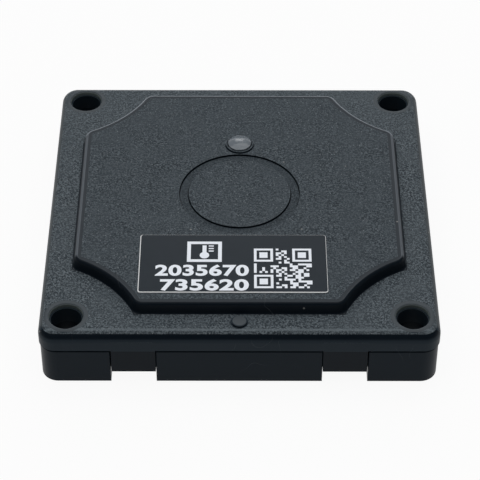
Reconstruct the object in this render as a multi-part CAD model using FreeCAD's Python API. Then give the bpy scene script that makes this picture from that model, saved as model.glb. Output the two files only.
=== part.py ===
"""Square screw-down temperature beacon in two snapped shells.

Millimetres, +Z up. The origin lies on the mounting face, under the centre of the case.
The lens is towards +Y and the label towards -Y. The press disc is in the middle of the top.
"""

import FreeCAD
import Part
import math
import os

# Case outline
HOLE_PITCH = 50.0
HOLE_TO_SIDE = 4.0
CASE_CORNER = 2.5
HOLE_RADIUS = 2.25
HOLE_RIM_WIDTH = 0.2
HOLE_RIM_DEPTH = 0.7
HOLE_RIM_ROUNDING = 0.3
BASE_HEIGHT = 6.4
COVER_SIDE_HEIGHT = 3.2
COVER_EDGE_ROUNDING = 1.7
BASE_INSET = 0.15
BASE_EDGE_ROUNDING = 0.15
PARTING_GAP = 0.05
PARTING_GROOVE_HEIGHT = 0.32
PARTING_GROOVE_DEPTH = 0.5

# Raised plateau on the cover, with a bite out of each corner round the screw
PLATEAU_HEIGHT = 1.8
FLANGE_WIDTH = 4.35
PLATEAU_DRAFT = 12.0
PLATEAU_TOP_ROUNDING = 0.6
PLATEAU_FOOT_ROUNDING = 0.4
BITE_RADIUS = 18.1
BITE_OUTSET = 2.8
BITE_ROUNDING = 2.0

# Walls
SKIRT_WALL = 1.5
COVER_ROOF = 1.5
FLOOR = 1.5
POST_WALL = 1.5
RIB = 1.0

# Sealing rim, which follows the plateau's outline
RIM_WALL = 1.5
RIM_ABOVE_PARTING = 1.0
GASKET_WIDTH = 0.9
GASKET_GROOVE_DEPTH = 0.5
CAVITY_INSET = 1.75

# Snap tongues on the front and back sides
SLOT_TO_SIDE = 10.35
SLOT_WIDTH = 6.6
SLOT_DEPTH = 2.95
TONGUE_INNER_GAP = 0.05
TONGUE_OUTER_GAP = 0.15
TONGUE_THICKNESS = 1.2
TONGUE_BOTTOM = 2.2
HOOK_REACH = 0.6
HOOK_HEIGHT = 1.2
HOOK_LIP = 0.4
CATCH_CLEARANCE = 0.15
CATCH_TO_TONGUE = 0.2
CATCH_HEIGHT = 1.6
CATCH_LIP = 0.4

# Press disc and the flexible ring round it
RING_OUTER_RADIUS = 9.2
RING_WIDTH = 1.4
RING_RECESS = 0.25
RING_THICKNESS = 0.6
RING_LEDGE = 0.6
FINE_ROUNDING = 0.08
RING_OUTER_GAP = 0.1
DISC_RUNNING_GAP = 0.1
DISC_LIP = 0.5
DISC_LIP_GAP = 0.05
DISC_BOSS_RADIUS = 1.6
DISC_BOSS_FOOT_RADIUS = 2.2
DISC_TO_PLUNGER_GAP = 0.02

# Status lens
LENS_TO_RING = 2.45
LENS_RADIUS = 1.8
LENS_ABOVE_COLLAR = 0.16
LENS_DOME = 0.36
LENS_FLANGE_WIDTH = 0.7
LENS_FLANGE_HEIGHT = 0.6
LENS_TO_LED_GAP = 0.2
LENS_BORE_GAP = 0.12
COLLAR_TOP_WALL = 0.25
COLLAR_FLARE = 0.13
COLLAR_HEIGHT = 0.22

# Raised orientation dot on the flange
DOT_RADIUS = 1.1
DOT_HEIGHT = 0.28
DOT_FROM_SIDE = 2.65

# Label
LABEL_LENGTH = 27.6
LABEL_WIDTH = 12.4
LABEL_THICKNESS = 0.12
LABEL_CORNER = 0.4
LABEL_X = -0.95
LABEL_TO_RING = 0.55

# Circuit board, on four bosses of the base
BOARD_THICKNESS = 0.8
BOARD_TO_ROOF = 2.06
BOARD_EDGE_GAP = 0.4
BOARD_SCREW_TO_SIDE = 3.45
BOARD_SCREW_TO_FRONT = 10.45
BOARD_HOLE_RADIUS = 1.15
BOSS_RADIUS = 2.0
PILOT_RADIUS = 0.8
PILOT_SPARE_DEPTH = 0.1
SCREW_HEAD_RADIUS = 1.8
SCREW_HEAD_HEIGHT = 1.1
SCREW_HEAD_ROUNDING = 0.55
SCREW_SHANK_LENGTH = 5.2
SCREW_TIP_LENGTH = 0.6
SCREW_DRIVE_RADIUS = 1.0
SCREW_DRIVE_WIDTH = 0.45
SCREW_DRIVE_DEPTH = 0.6

# Tactile switch under the disc
SWITCH_SIZE = 5.2
SWITCH_BASE_HEIGHT = 0.9
SWITCH_WELL_RADIUS = 1.9
SWITCH_WELL_FLOOR = 0.2
SWITCH_FRAME_SHEET = 0.15
PLUNGER_RADIUS = 1.2
PLUNGER_BORE_GAP = 0.08
PLUNGER_FLANGE_WIDTH = 0.4
PLUNGER_TOP = 1.5
PLUNGER_TRAVEL = 0.25
PLUNGER_END_GAP = 0.02
DOME_TO_WELL_GAP = 0.15
DOME_PRESSED_RISE = 0.17
DOME_SHEET = 0.06
TERMINAL_LENGTH = 0.7
TERMINAL_WIDTH = 0.6
TERMINAL_SHEET = 0.15
TERMINAL_PITCH = 3.7

# Coin cell, its clip and its contacts, under the board
CELL_RADIUS = 12.25
CELL_TO_FLOOR = 0.05
CELL_Y = -2.0
CELL_SHEET = 0.25
CELL_CAP_INSET = 1.15
CELL_CAP_STEP = 0.4
CELL_SEAL_WALL = 0.5
CELL_CRIMP = 0.35
CLIP_SHEET = 0.25
CLIP_WIDTH = 9.0
CLIP_SIDE_GAP = 0.1
CLIP_FOOT = 2.5
CLIP_WINDOW_LENGTH = 12.0
CLIP_WINDOW_WIDTH = 4.5
CLIP_WINDOW_CORNER = 1.1
CONTACT_RADIUS = 3.5
CONTACT_SHEET = 0.12
CONTACT_NIB_RADIUS = 1.2
CRADLE_GAP = 0.4
CRADLE_WALL = 0.9
CRADLE_HEIGHT = 3.0
CRADLE_TO_CLIP = 1.1

# Temperature chip under the board, with a soft pad between it and a post of the base
SENSOR_POST_TO_CLIP = 1.1
SENSOR_SIZE = 2.5
SENSOR_HEIGHT = 0.9
THERMAL_PAD_SIZE = 3.6
THERMAL_PAD_HEIGHT = 0.8
SENSOR_POST_SIZE = 4.4

# Parts on top of the board, with their places from its sides or from one another
LED_LENGTH = 2.0
LED_WIDTH = 1.25
LED_HEIGHT = 0.7
LED_CUP_FOOT_RADIUS = 0.35
LED_CUP_MOUTH_RADIUS = 0.5
LED_CUP_DEPTH = 0.35
SHIELD_LENGTH = 10.0
SHIELD_WIDTH = 10.0
SHIELD_HEIGHT = 1.5
SHIELD_TO_LENS = 1.1
SHIELD_TO_FRONT = 5.95
SHIELD_SHEET = 0.2
SHIELD_CORNER = 0.6
RADIO_CHIP_SIZE = 6.0
RADIO_CHIP_HEIGHT = 0.85
RADIO_CHIP_TO_SHIELD = 0.45
RADIO_CRYSTAL_LENGTH = 2.5
RADIO_CRYSTAL_WIDTH = 2.0
RADIO_CRYSTAL_HEIGHT = 0.6
CLOCK_CRYSTAL_LENGTH = 3.2
CLOCK_CRYSTAL_WIDTH = 1.5
CLOCK_CRYSTAL_HEIGHT = 0.8
CRYSTAL_TO_SHIELD = 0.4
CRYSTAL_CORNER = 0.25
PIN_MARK_RADIUS = 0.35
PIN_MARK_DEPTH = 0.08
PIN_MARK_INSET = 0.9
ANTENNA_LENGTH = 9.0
ANTENNA_WIDTH = 3.0
ANTENNA_HEIGHT = 1.0
ANTENNA_X = 6.5
ANTENNA_TO_FRONT = 0.75
RESERVOIR_LENGTH = 7.3
RESERVOIR_WIDTH = 4.3
RESERVOIR_HEIGHT = 1.6
RESERVOIR_TO_SIDE = 4.3
RESERVOIR_Y = 4.5
RESERVOIR_BEVEL = 0.2
CAPACITOR_LENGTH = 1.6
CAPACITOR_WIDTH = 0.8
CAPACITOR_HEIGHT = 0.8
CAPACITOR_COLUMN_PITCH = 3.0
CAPACITOR_ROW_PITCH = 1.9
CAPACITOR_X = 10.5
CAPACITOR_TO_FRONT = 8.9
SHIELDED_CAPACITOR_TO_CHIP = 0.8
RESISTOR_LENGTH = 1.6
RESISTOR_WIDTH = 0.8
RESISTOR_HEIGHT = 0.45
RESISTOR_COLUMNS = 4
RESISTOR_ROWS = 2
RESISTOR_PITCH = 2.6
RESISTOR_X = 6.0
RESISTOR_TO_BACK = 6.25
PAD_RADIUS = 0.6
PAD_HEIGHT = 0.05
PAD_COUNT = 5
PAD_PITCH = 2.2
PAD_X = -13.0
PAD_TO_BACK = 5.95

# Heights and half widths that follow
CASE_HALF = HOLE_PITCH / 2 + HOLE_TO_SIDE
HOLE_OFFSET = HOLE_PITCH / 2
FLANGE_TOP = BASE_HEIGHT + COVER_SIDE_HEIGHT
PLATEAU_TOP = FLANGE_TOP + PLATEAU_HEIGHT
ROOF_UNDERSIDE = PLATEAU_TOP - COVER_ROOF
FLANGE_UNDERSIDE = FLANGE_TOP - COVER_ROOF
PLATEAU_HALF = CASE_HALF - FLANGE_WIDTH
BITE_CENTRE = CASE_HALF + BITE_OUTSET
BASE_HALF = CASE_HALF - BASE_INSET
BASE_TOP = BASE_HEIGHT - PARTING_GROOVE_HEIGHT
LIP_HALF = BASE_HALF - PARTING_GROOVE_DEPTH
LIP_TOP = BASE_HEIGHT - PARTING_GAP
HOLE_RIM_RADIUS = HOLE_RADIUS + HOLE_RIM_WIDTH
POST_RADIUS = HOLE_RADIUS + POST_WALL
RIM_TOP = BASE_HEIGHT + RIM_ABOVE_PARTING
SLOT_OUTER = CASE_HALF - SLOT_TO_SIDE
SLOT_INNER = SLOT_OUTER - SLOT_WIDTH
SLOT_BACK = BASE_HALF - SLOT_DEPTH
TONGUE_INNER_FACE = CASE_HALF - TONGUE_THICKNESS
RING_TOP = PLATEAU_TOP - RING_RECESS
RING_BOTTOM = RING_TOP - RING_THICKNESS
RING_INNER_RADIUS = RING_OUTER_RADIUS - RING_WIDTH
LEDGE_RADIUS = RING_OUTER_RADIUS - RING_LEDGE
BOARD_TOP = ROOF_UNDERSIDE - BOARD_TO_ROOF
BOARD_BOTTOM = BOARD_TOP - BOARD_THICKNESS
CELL_BOTTOM = FLOOR + CELL_TO_FLOOR + CLIP_SHEET
CELL_TOP = BOARD_BOTTOM - 2 * CONTACT_SHEET
BOARD_INSET = RIM_WALL + BOARD_EDGE_GAP
BOARD_HALF = PLATEAU_HALF - BOARD_INSET
PILOT_BOTTOM = BOARD_TOP - SCREW_SHANK_LENGTH - SCREW_TIP_LENGTH - PILOT_SPARE_DEPTH
SWITCH_WELL_BOTTOM = BOARD_TOP + SWITCH_WELL_FLOOR
SWITCH_TOP = BOARD_TOP + SWITCH_BASE_HEIGHT
SWITCH_FRAME_BORE = PLUNGER_RADIUS + PLUNGER_BORE_GAP
PLUNGER_FLANGE_RADIUS = PLUNGER_RADIUS + PLUNGER_FLANGE_WIDTH
DOME_RADIUS = SWITCH_WELL_RADIUS - DOME_TO_WELL_GAP
DOME_RISE = PLUNGER_TRAVEL + DOME_PRESSED_RISE
PLUNGER_LOWER_END = SWITCH_WELL_BOTTOM + DOME_RISE + PLUNGER_END_GAP
PLUNGER_UPPER_END = BOARD_TOP + PLUNGER_TOP
LENS_Y = RING_OUTER_RADIUS + LENS_TO_RING
LENS_BASE = BOARD_TOP + LED_HEIGHT + LENS_TO_LED_GAP
LENS_BORE_RADIUS = LENS_RADIUS + LENS_BORE_GAP
LENS_FLANGE_RADIUS = LENS_RADIUS + LENS_FLANGE_WIDTH
COLLAR_TOP_RADIUS = LENS_BORE_RADIUS + COLLAR_TOP_WALL
COLLAR_FOOT_RADIUS = COLLAR_TOP_RADIUS + COLLAR_FLARE
LABEL_Y = -(RING_OUTER_RADIUS + LABEL_TO_RING + LABEL_WIDTH / 2)
CLIP_HALF = CELL_RADIUS + CLIP_SIDE_GAP
CRADLE_RADIUS = CELL_RADIUS + CRADLE_GAP
CELL_CAP_RADIUS = CELL_RADIUS - CELL_CAP_INSET
CELL_BORE = CELL_RADIUS - CELL_SHEET
CELL_SEAL_BORE = CELL_BORE - CELL_SEAL_WALL
CELL_CROWN_RADIUS = CELL_CAP_RADIUS - CELL_CRIMP
CELL_SHOULDER = CELL_TOP - 2 * CELL_CAP_STEP
SENSOR_X = -(CLIP_HALF + CLIP_SHEET + CLIP_FOOT + SENSOR_POST_TO_CLIP + SENSOR_POST_SIZE / 2)
SENSOR_BOTTOM = BOARD_BOTTOM - SENSOR_HEIGHT
PAD_BOTTOM = SENSOR_BOTTOM - THERMAL_PAD_HEIGHT
SHIELD_X = -(LENS_FLANGE_RADIUS + SHIELD_TO_LENS + SHIELD_LENGTH / 2)
SHIELD_Y = BOARD_HALF - SHIELD_TO_FRONT - SHIELD_WIDTH / 2
SHIELD_INNER_X = SHIELD_LENGTH / 2 - SHIELD_SHEET
SHIELD_INNER_Y = SHIELD_WIDTH / 2 - SHIELD_SHEET
RADIO_CHIP_X = RADIO_CHIP_SIZE / 2 + RADIO_CHIP_TO_SHIELD - SHIELD_INNER_X
RADIO_CHIP_Y = SHIELD_INNER_Y - RADIO_CHIP_SIZE / 2 - RADIO_CHIP_TO_SHIELD
SIDES = (1, -1)
CORNERS = ((1, 1), (-1, 1), (-1, -1), (1, -1))
QUARTERS = 4

# How far a cut or a joining piece runs past its neighbour, what counts as the same place,
# and the largest share of a wall that a rounding takes
OVERLAP = 0.5
SAME = 1e-4
ROUNDING_SHARE = 0.9


def point(x, y, z=0.0):
    """A point in the case's frame."""
    return FreeCAD.Vector(x, y, z)


def limited(radius, *walls):
    """A rounding's radius, held under the walls that it has to fit."""
    return min(radius, *(ROUNDING_SHARE * wall for wall in walls))


def disc(radius, low, high, x=0.0, y=0.0):
    """An upright cylinder between two heights."""
    return Part.makeCylinder(radius, high - low, point(x, y, low))


def ring(outer, inner, low, high, x=0.0, y=0.0):
    """An upright tube between two heights."""
    return disc(outer, low, high, x, y).cut(disc(inner, low, high, x, y))


def cone(low_radius, high_radius, low, high, x=0.0, y=0.0):
    """An upright cone's slice between two heights."""
    return Part.makeCone(low_radius, high_radius, high - low, point(x, y, low))


def block(x0, x1, y0, y1, z0, z1):
    """A box between two opposite corners, given in any order."""
    low = point(min(x0, x1), min(y0, y1), min(z0, z1))
    return Part.makeBox(abs(x1 - x0), abs(y1 - y0), abs(z1 - z0), low)


def slab(half_x, half_y, corner, low, high, x=0.0, y=0.0):
    """A rectangular plate with rounded upright corners."""
    plate = block(x - half_x, x + half_x, y - half_y, y + half_y, low, high)
    upright = [e for e in plate.Edges if abs(e.Vertexes[0].Z - e.Vertexes[-1].Z) > SAME]
    return plate.makeFillet(limited(corner, half_x, half_y), upright)


def joined(shapes):
    """One solid from shapes that touch or overlap."""
    first = shapes[0]
    return first.fuse(shapes[1:]).removeSplitter() if len(shapes) > 1 else first


def level_edges(shape, height, reach=None):
    """Edges that lie at one height and within a square of half width reach."""
    found = []
    for edge in shape.Edges:
        box = edge.BoundBox
        if abs(box.ZMin - height) > SAME or abs(box.ZMax - height) > SAME:
            continue
        widest = max(abs(box.XMin), abs(box.XMax), abs(box.YMin), abs(box.YMax))
        if reach is None or widest <= reach:
            found.append(edge)
    return found


def circle_edges(shape, radius, height):
    """Round edges of one radius at one height."""
    found = []
    for edge in level_edges(shape, height):
        if isinstance(edge.Curve, Part.Circle) and abs(edge.Curve.Radius - radius) < SAME:
            found.append(edge)
    return found


def turned(x, y, quarter):
    """A plan point turned by a number of quarter turns about the case's centre."""
    for _ in range(quarter):
        x, y = -y, x
    return x, y


def plateau_wire(inset, height):
    """The plateau's foot outline, drawn in by an inset: four sides, four bites and the roundings between."""
    half = PLATEAU_HALF - inset
    bite = BITE_RADIUS + inset
    rounding = BITE_ROUNDING - inset
    round_x = PLATEAU_HALF - BITE_ROUNDING
    across = BITE_CENTRE - round_x
    round_y = BITE_CENTRE - math.sqrt((BITE_RADIUS + BITE_ROUNDING) ** 2 - across ** 2)
    to_round = math.atan2(round_y - BITE_CENTRE, round_x - BITE_CENTRE)
    join = (BITE_CENTRE + bite * math.cos(to_round), BITE_CENTRE + bite * math.sin(to_round))
    middle_angle = (to_round + math.pi) / 2
    knee = (round_x + rounding * math.cos(middle_angle), round_y + rounding * math.sin(middle_angle))
    deepest = BITE_CENTRE - bite / math.sqrt(2)
    corner = [
        ((half, round_y), knee, join),
        (join, (deepest, deepest), (join[1], join[0])),
        ((join[1], join[0]), (knee[1], knee[0]), (round_y, half)),
    ]
    edges = []
    for quarter in range(QUARTERS):
        start = turned(half, -round_y, quarter)
        end = turned(half, round_y, quarter)
        edges.append(Part.LineSegment(point(*start, height), point(*end, height)).toShape())
        for arc in corner:
            bent = [point(*turned(*p, quarter), height) for p in arc]
            edges.append(Part.Arc(*bent).toShape())
    return Part.Wire(edges)


def plateau_prism(inset, low, high):
    """An upright prism on the plateau's outline."""
    return Part.Face(plateau_wire(inset, low)).extrude(point(0, 0, high - low))


def side_prism(profile, x0, x1, side):
    """A prism along X, on one side of the case, from a profile of distances from the centre and heights."""
    corners = [point(x0, side * y, z) for y, z in profile]
    face = Part.Face(Part.makePolygon(corners + corners[:1]))
    return face.extrude(point(x1 - x0, 0, 0))


def tongues():
    """Yields each snap place as the side it is on and the direction along X from the middle."""
    for side in SIDES:
        for hand in SIDES:
            yield side, hand


def plateau_block():
    """The raised plateau with drafted walls and a rounded top edge, sunk a little into the flange."""
    draw_in = PLATEAU_HEIGHT * math.tan(math.radians(PLATEAU_DRAFT))
    walls = Part.makeLoft([plateau_wire(0, FLANGE_TOP), plateau_wire(draw_in, PLATEAU_TOP)], True, True)
    rounding = limited(PLATEAU_TOP_ROUNDING, PLATEAU_HEIGHT - PLATEAU_FOOT_ROUNDING)
    walls = walls.makeFillet(rounding, level_edges(walls, PLATEAU_TOP))
    return walls.fuse(plateau_prism(0, FLANGE_TOP - OVERLAP, FLANGE_TOP)).removeSplitter()


def snap_tongue(side, hand):
    """A tongue that hangs from the cover's skirt, with a hook on its inner face."""
    near = hand * (SLOT_INNER + TONGUE_INNER_GAP)
    far = hand * (SLOT_OUTER - TONGUE_OUTER_GAP)
    blade = block(near, far, side * CASE_HALF, side * TONGUE_INNER_FACE, TONGUE_BOTTOM, FLANGE_UNDERSIDE)
    hook_top = TONGUE_BOTTOM + HOOK_HEIGHT
    tip = TONGUE_INNER_FACE - HOOK_REACH
    profile = [
        (TONGUE_INNER_FACE + OVERLAP, TONGUE_BOTTOM),
        (TONGUE_INNER_FACE, TONGUE_BOTTOM),
        (tip, hook_top - HOOK_LIP),
        (tip, hook_top),
        (TONGUE_INNER_FACE + OVERLAP, hook_top),
    ]
    return blade.fuse(side_prism(profile, near, far, side))


def top_cover():
    """Upper shell: flange, plateau, screw bosses, snap tongues, and openings for the disc and the lens."""
    flange = slab(CASE_HALF, CASE_HALF, CASE_CORNER, BASE_HEIGHT, FLANGE_TOP)
    rounding = limited(COVER_EDGE_ROUNDING, COVER_SIDE_HEIGHT, CASE_CORNER)
    flange = flange.makeFillet(rounding, level_edges(flange, FLANGE_TOP))
    cover = flange.fuse(plateau_block()).removeSplitter()
    foot = level_edges(cover, FLANGE_TOP, PLATEAU_HALF + SAME)
    cover = cover.makeFillet(limited(PLATEAU_FOOT_ROUNDING, PLATEAU_HEIGHT - PLATEAU_TOP_ROUNDING), foot)

    collar = cone(COLLAR_FOOT_RADIUS, COLLAR_TOP_RADIUS, PLATEAU_TOP, PLATEAU_TOP + COLLAR_HEIGHT, 0, LENS_Y)
    collar = collar.fuse(disc(COLLAR_FOOT_RADIUS, PLATEAU_TOP - OVERLAP, PLATEAU_TOP, 0, LENS_Y))
    dot_y = DOT_FROM_SIDE - CASE_HALF
    dot = disc(DOT_RADIUS, FLANGE_TOP - OVERLAP, FLANGE_TOP + DOT_HEIGHT, 0, dot_y)
    cover = cover.fuse([collar, dot])

    inner = CASE_HALF - SKIRT_WALL
    hollow = slab(inner, inner, max(CASE_CORNER - SKIRT_WALL, RIB), BASE_HEIGHT, FLANGE_UNDERSIDE)
    bosses = [disc(POST_RADIUS, BASE_HEIGHT, FLANGE_UNDERSIDE, *at) for at in screw_places()]
    hollow = hollow.cut(bosses)
    cavity = plateau_prism(CAVITY_INSET, FLANGE_UNDERSIDE - OVERLAP, ROOF_UNDERSIDE)
    cover = cover.cut([hollow, cavity])

    cover = cover.fuse([snap_tongue(side, hand) for side, hand in tongues()])
    cuts = [
        disc(RING_OUTER_RADIUS, RING_BOTTOM, PLATEAU_TOP + OVERLAP),
        disc(LEDGE_RADIUS, ROOF_UNDERSIDE - OVERLAP, RING_BOTTOM + OVERLAP),
        disc(LENS_BORE_RADIUS, ROOF_UNDERSIDE - OVERLAP, PLATEAU_TOP + COLLAR_HEIGHT + OVERLAP, 0, LENS_Y),
    ]
    for at in screw_places():
        cuts.append(disc(HOLE_RADIUS, 0, FLANGE_TOP + OVERLAP, *at))
        cuts.append(disc(HOLE_RIM_RADIUS, FLANGE_TOP - HOLE_RIM_DEPTH, FLANGE_TOP + OVERLAP, *at))
    cover = cover.cut(cuts).removeSplitter()
    cover = cover.makeFillet(HOLE_RIM_ROUNDING, circle_edges(cover, HOLE_RIM_RADIUS, FLANGE_TOP))
    return cover.makeFillet(FINE_ROUNDING, circle_edges(cover, RING_OUTER_RADIUS, PLATEAU_TOP))


def screw_places():
    """Plan centres of the four mounting holes."""
    return [(sx * HOLE_OFFSET, sy * HOLE_OFFSET) for sx, sy in CORNERS]


def board_screw_places():
    """Plan centres of the four board screws."""
    x = BOARD_HALF - BOARD_SCREW_TO_SIDE
    y = BOARD_HALF - BOARD_SCREW_TO_FRONT
    return [(sx * x, sy * y) for sx, sy in CORNERS]


def tongue_pocket(side, hand):
    """The block between the skirt and the sealing rim that each slot is cut into."""
    near = hand * (SLOT_INNER - RIB)
    far = hand * (SLOT_OUTER + RIB)
    back = PLATEAU_HALF - RIM_WALL / 2
    return block(near, far, side * (BASE_HALF - SKIRT_WALL), side * back, FLOOR - OVERLAP, BASE_TOP)


def tongue_slot(side, hand):
    """The slot itself, open at the side, the top and the bottom."""
    near = hand * SLOT_INNER
    far = hand * SLOT_OUTER
    return block(near, far, side * (CASE_HALF + OVERLAP), side * SLOT_BACK, -OVERLAP, RIM_TOP)


def tongue_catch(side, hand):
    """The nose across the slot that the tongue's hook latches under."""
    hook_top = TONGUE_BOTTOM + HOOK_HEIGHT
    low = hook_top + CATCH_CLEARANCE
    high = min(low + CATCH_HEIGHT, BASE_TOP)
    tip = TONGUE_INNER_FACE - CATCH_TO_TONGUE
    profile = [
        (SLOT_BACK - RIB, low),
        (tip, low),
        (tip, low + CATCH_LIP),
        (SLOT_BACK + CATCH_LIP, high),
        (SLOT_BACK - RIB, high),
    ]
    return side_prism(profile, hand * (SLOT_INNER - RIB), hand * (SLOT_OUTER + RIB), side)


def base_shell():
    """Lower shell: floor, skirt with its lip, rim, mounting posts, board bosses, cradle and snap slots."""
    inner = BASE_HALF - SKIRT_WALL
    hollow = slab(inner, inner, max(CASE_CORNER - SKIRT_WALL, RIB), FLOOR, LIP_TOP + OVERLAP)
    shell = slab(BASE_HALF, BASE_HALF, CASE_CORNER, 0, BASE_TOP).cut(hollow)
    shell = shell.cut([tongue_slot(side, hand) for side, hand in tongues()])
    rounded = outer_level_edges(shell, BASE_TOP) + outer_level_edges(shell, 0) + slot_edges(shell)
    shell = shell.makeFillet(BASE_EDGE_ROUNDING, rounded)

    additions = [plateau_prism(0, FLOOR - OVERLAP, RIM_TOP).cut(plateau_prism(RIM_WALL, FLOOR, RIM_TOP))]
    additions += [tongue_pocket(side, hand) for side, hand in tongues()]
    additions += [disc(POST_RADIUS, FLOOR - OVERLAP, BASE_HEIGHT, *at) for at in screw_places()]
    additions += [disc(BOSS_RADIUS, FLOOR - OVERLAP, BOARD_BOTTOM, *at) for at in board_screw_places()]
    additions += side_ribs()
    lip_corner = max(CASE_CORNER - PARTING_GROOVE_DEPTH, RIB)
    additions.append(slab(LIP_HALF, LIP_HALF, lip_corner, BASE_TOP - OVERLAP, LIP_TOP).cut(hollow))
    additions.append(cell_cradle())
    additions.append(sensor_block(SENSOR_POST_SIZE, FLOOR - OVERLAP, PAD_BOTTOM))
    shell = shell.fuse(additions)

    groove_inset = (RIM_WALL - GASKET_WIDTH) / 2
    groove_low = RIM_TOP - GASKET_GROOVE_DEPTH
    groove = plateau_prism(groove_inset, groove_low, RIM_TOP + OVERLAP)
    groove = groove.cut(plateau_prism(groove_inset + GASKET_WIDTH, groove_low, RIM_TOP + OVERLAP))
    cuts = [groove]
    cuts += [tongue_slot(side, hand) for side, hand in tongues()]
    cuts += [disc(HOLE_RADIUS, -OVERLAP, BASE_HEIGHT + OVERLAP, *at) for at in screw_places()]
    cuts += [disc(PILOT_RADIUS, PILOT_BOTTOM, BOARD_TOP, *at) for at in board_screw_places()]
    shell = shell.cut(cuts)
    return shell.fuse([tongue_catch(side, hand) for side, hand in tongues()]).removeSplitter()


def outer_level_edges(shape, height):
    """Edges at one height that lie on the base's outer face."""
    found = []
    for edge in level_edges(shape, height):
        middle = edge.valueAt((edge.FirstParameter + edge.LastParameter) / 2)
        if max(abs(middle.x), abs(middle.y)) > BASE_HALF - CASE_CORNER / 2:
            found.append(edge)
    return found


def slot_edges(shape):
    """Upright edges where the slots meet the base's outer face."""
    found = []
    for edge in shape.Edges:
        box = edge.BoundBox
        upright = box.ZMax - box.ZMin > BASE_TOP / 2
        if upright and abs(abs(box.Center.y) - BASE_HALF) < SAME and abs(box.Center.x) < SLOT_OUTER + SAME:
            found.append(edge)
    return found


def side_ribs():
    """Ribs between the sealing rim and the skirt: three on each side along X, and one on each along Y."""
    ribs = []
    inner = PLATEAU_HALF - RIM_WALL / 2
    outer = BASE_HALF - SKIRT_WALL / 2
    half = RIB / 2
    low = FLOOR - OVERLAP
    high = BASE_TOP - RIB
    for side in SIDES:
        for y in (-SLOT_INNER, 0, SLOT_INNER):
            ribs.append(block(side * inner, side * outer, y - half, y + half, low, high))
        ribs.append(block(-half, half, side * inner, side * outer, low, high))
    return ribs


def cell_cradle():
    """Two low arcs of wall that keep the coin cell from sliding out of its clip."""
    wall = ring(CRADLE_RADIUS + CRADLE_WALL, CRADLE_RADIUS, FLOOR - OVERLAP, FLOOR + CRADLE_HEIGHT, 0, CELL_Y)
    reach = CRADLE_RADIUS + 2 * CRADLE_WALL
    half = CLIP_WIDTH / 2 + CRADLE_TO_CLIP
    return wall.cut(block(-reach, reach, CELL_Y - half, CELL_Y + half, FLOOR, FLOOR + 2 * CRADLE_HEIGHT))


def seal_gasket():
    """Rubber cord between the base's rim and the underside of the cover's flange."""
    inset = (RIM_WALL - GASKET_WIDTH) / 2
    low = RIM_TOP - GASKET_GROOVE_DEPTH
    cord = plateau_prism(inset, low, FLANGE_UNDERSIDE)
    return cord.cut(plateau_prism(inset + GASKET_WIDTH, low, FLANGE_UNDERSIDE))


def flex_ring():
    """Thin flexible ring, recessed below the plateau, that seals the press disc into the cover."""
    outer = RING_OUTER_RADIUS - RING_OUTER_GAP
    return ring(outer, RING_INNER_RADIUS + DISC_RUNNING_GAP, RING_BOTTOM, RING_TOP)


def press_disc():
    """The disc that a finger presses, with a lip under the ring and a boss over the switch."""
    lip_top = RING_BOTTOM - DISC_LIP_GAP
    boss_low = PLUNGER_UPPER_END + DISC_TO_PLUNGER_GAP
    top = disc(RING_INNER_RADIUS, lip_top - OVERLAP, PLATEAU_TOP)
    top = top.makeFillet(FINE_ROUNDING, level_edges(top, PLATEAU_TOP))
    lip = disc(RING_INNER_RADIUS + DISC_LIP, ROOF_UNDERSIDE, lip_top)
    boss = cone(DISC_BOSS_RADIUS, DISC_BOSS_FOOT_RADIUS, boss_low, ROOF_UNDERSIDE + OVERLAP)
    return joined([top, lip, boss])


def status_lens():
    """Clear light pipe with a domed head above the collar and a flange under the roof."""
    rim = PLATEAU_TOP + COLLAR_HEIGHT + LENS_ABOVE_COLLAR
    ball = (LENS_RADIUS ** 2 + LENS_DOME ** 2) / (2 * LENS_DOME)
    dome = Part.makeSphere(ball, point(0, LENS_Y, rim + LENS_DOME - ball))
    dome = dome.common(disc(LENS_RADIUS, rim, rim + 2 * LENS_DOME, 0, LENS_Y))
    shaft = disc(LENS_RADIUS, LENS_BASE, rim, 0, LENS_Y)
    flange = disc(LENS_FLANGE_RADIUS, ROOF_UNDERSIDE - LENS_FLANGE_HEIGHT, ROOF_UNDERSIDE, 0, LENS_Y)
    return joined([shaft, dome, flange])


def id_label():
    """Thin adhesive label on the plateau."""
    half_x = LABEL_LENGTH / 2
    half_y = LABEL_WIDTH / 2
    return slab(half_x, half_y, LABEL_CORNER, PLATEAU_TOP, PLATEAU_TOP + LABEL_THICKNESS, LABEL_X, LABEL_Y)


def circuit_board():
    """Board on the four bosses inside the sealing rim."""
    board = plateau_prism(BOARD_INSET, BOARD_BOTTOM, BOARD_TOP)
    return board.cut([disc(BOARD_HOLE_RADIUS, 0, BOARD_TOP + OVERLAP, *at) for at in board_screw_places()])


def board_screw(x, y):
    """Pan-head self-tapping screw with a cross recess. The thread is drawn at the pilot's radius."""
    head_top = BOARD_TOP + SCREW_HEAD_HEIGHT
    tip_top = BOARD_TOP - SCREW_SHANK_LENGTH
    head = disc(SCREW_HEAD_RADIUS, BOARD_TOP, head_top, x, y)
    head = head.makeFillet(limited(SCREW_HEAD_ROUNDING, SCREW_HEAD_HEIGHT), level_edges(head, head_top))
    shank = disc(PILOT_RADIUS, tip_top, BOARD_TOP, x, y)
    tip = cone(PILOT_RADIUS / 2, PILOT_RADIUS, tip_top - SCREW_TIP_LENGTH, tip_top, x, y)
    reach = SCREW_DRIVE_RADIUS
    half = SCREW_DRIVE_WIDTH / 2
    drive_low = head_top - SCREW_DRIVE_DEPTH
    cross = [
        block(x - reach, x + reach, y - half, y + half, drive_low, head_top + OVERLAP),
        block(x - half, x + half, y - reach, y + reach, drive_low, head_top + OVERLAP),
    ]
    return joined([head, shank, tip]).cut(cross)


def board_screws():
    """The four board screws, as separate solids."""
    return Part.makeCompound([board_screw(*at) for at in board_screw_places()])


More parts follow.
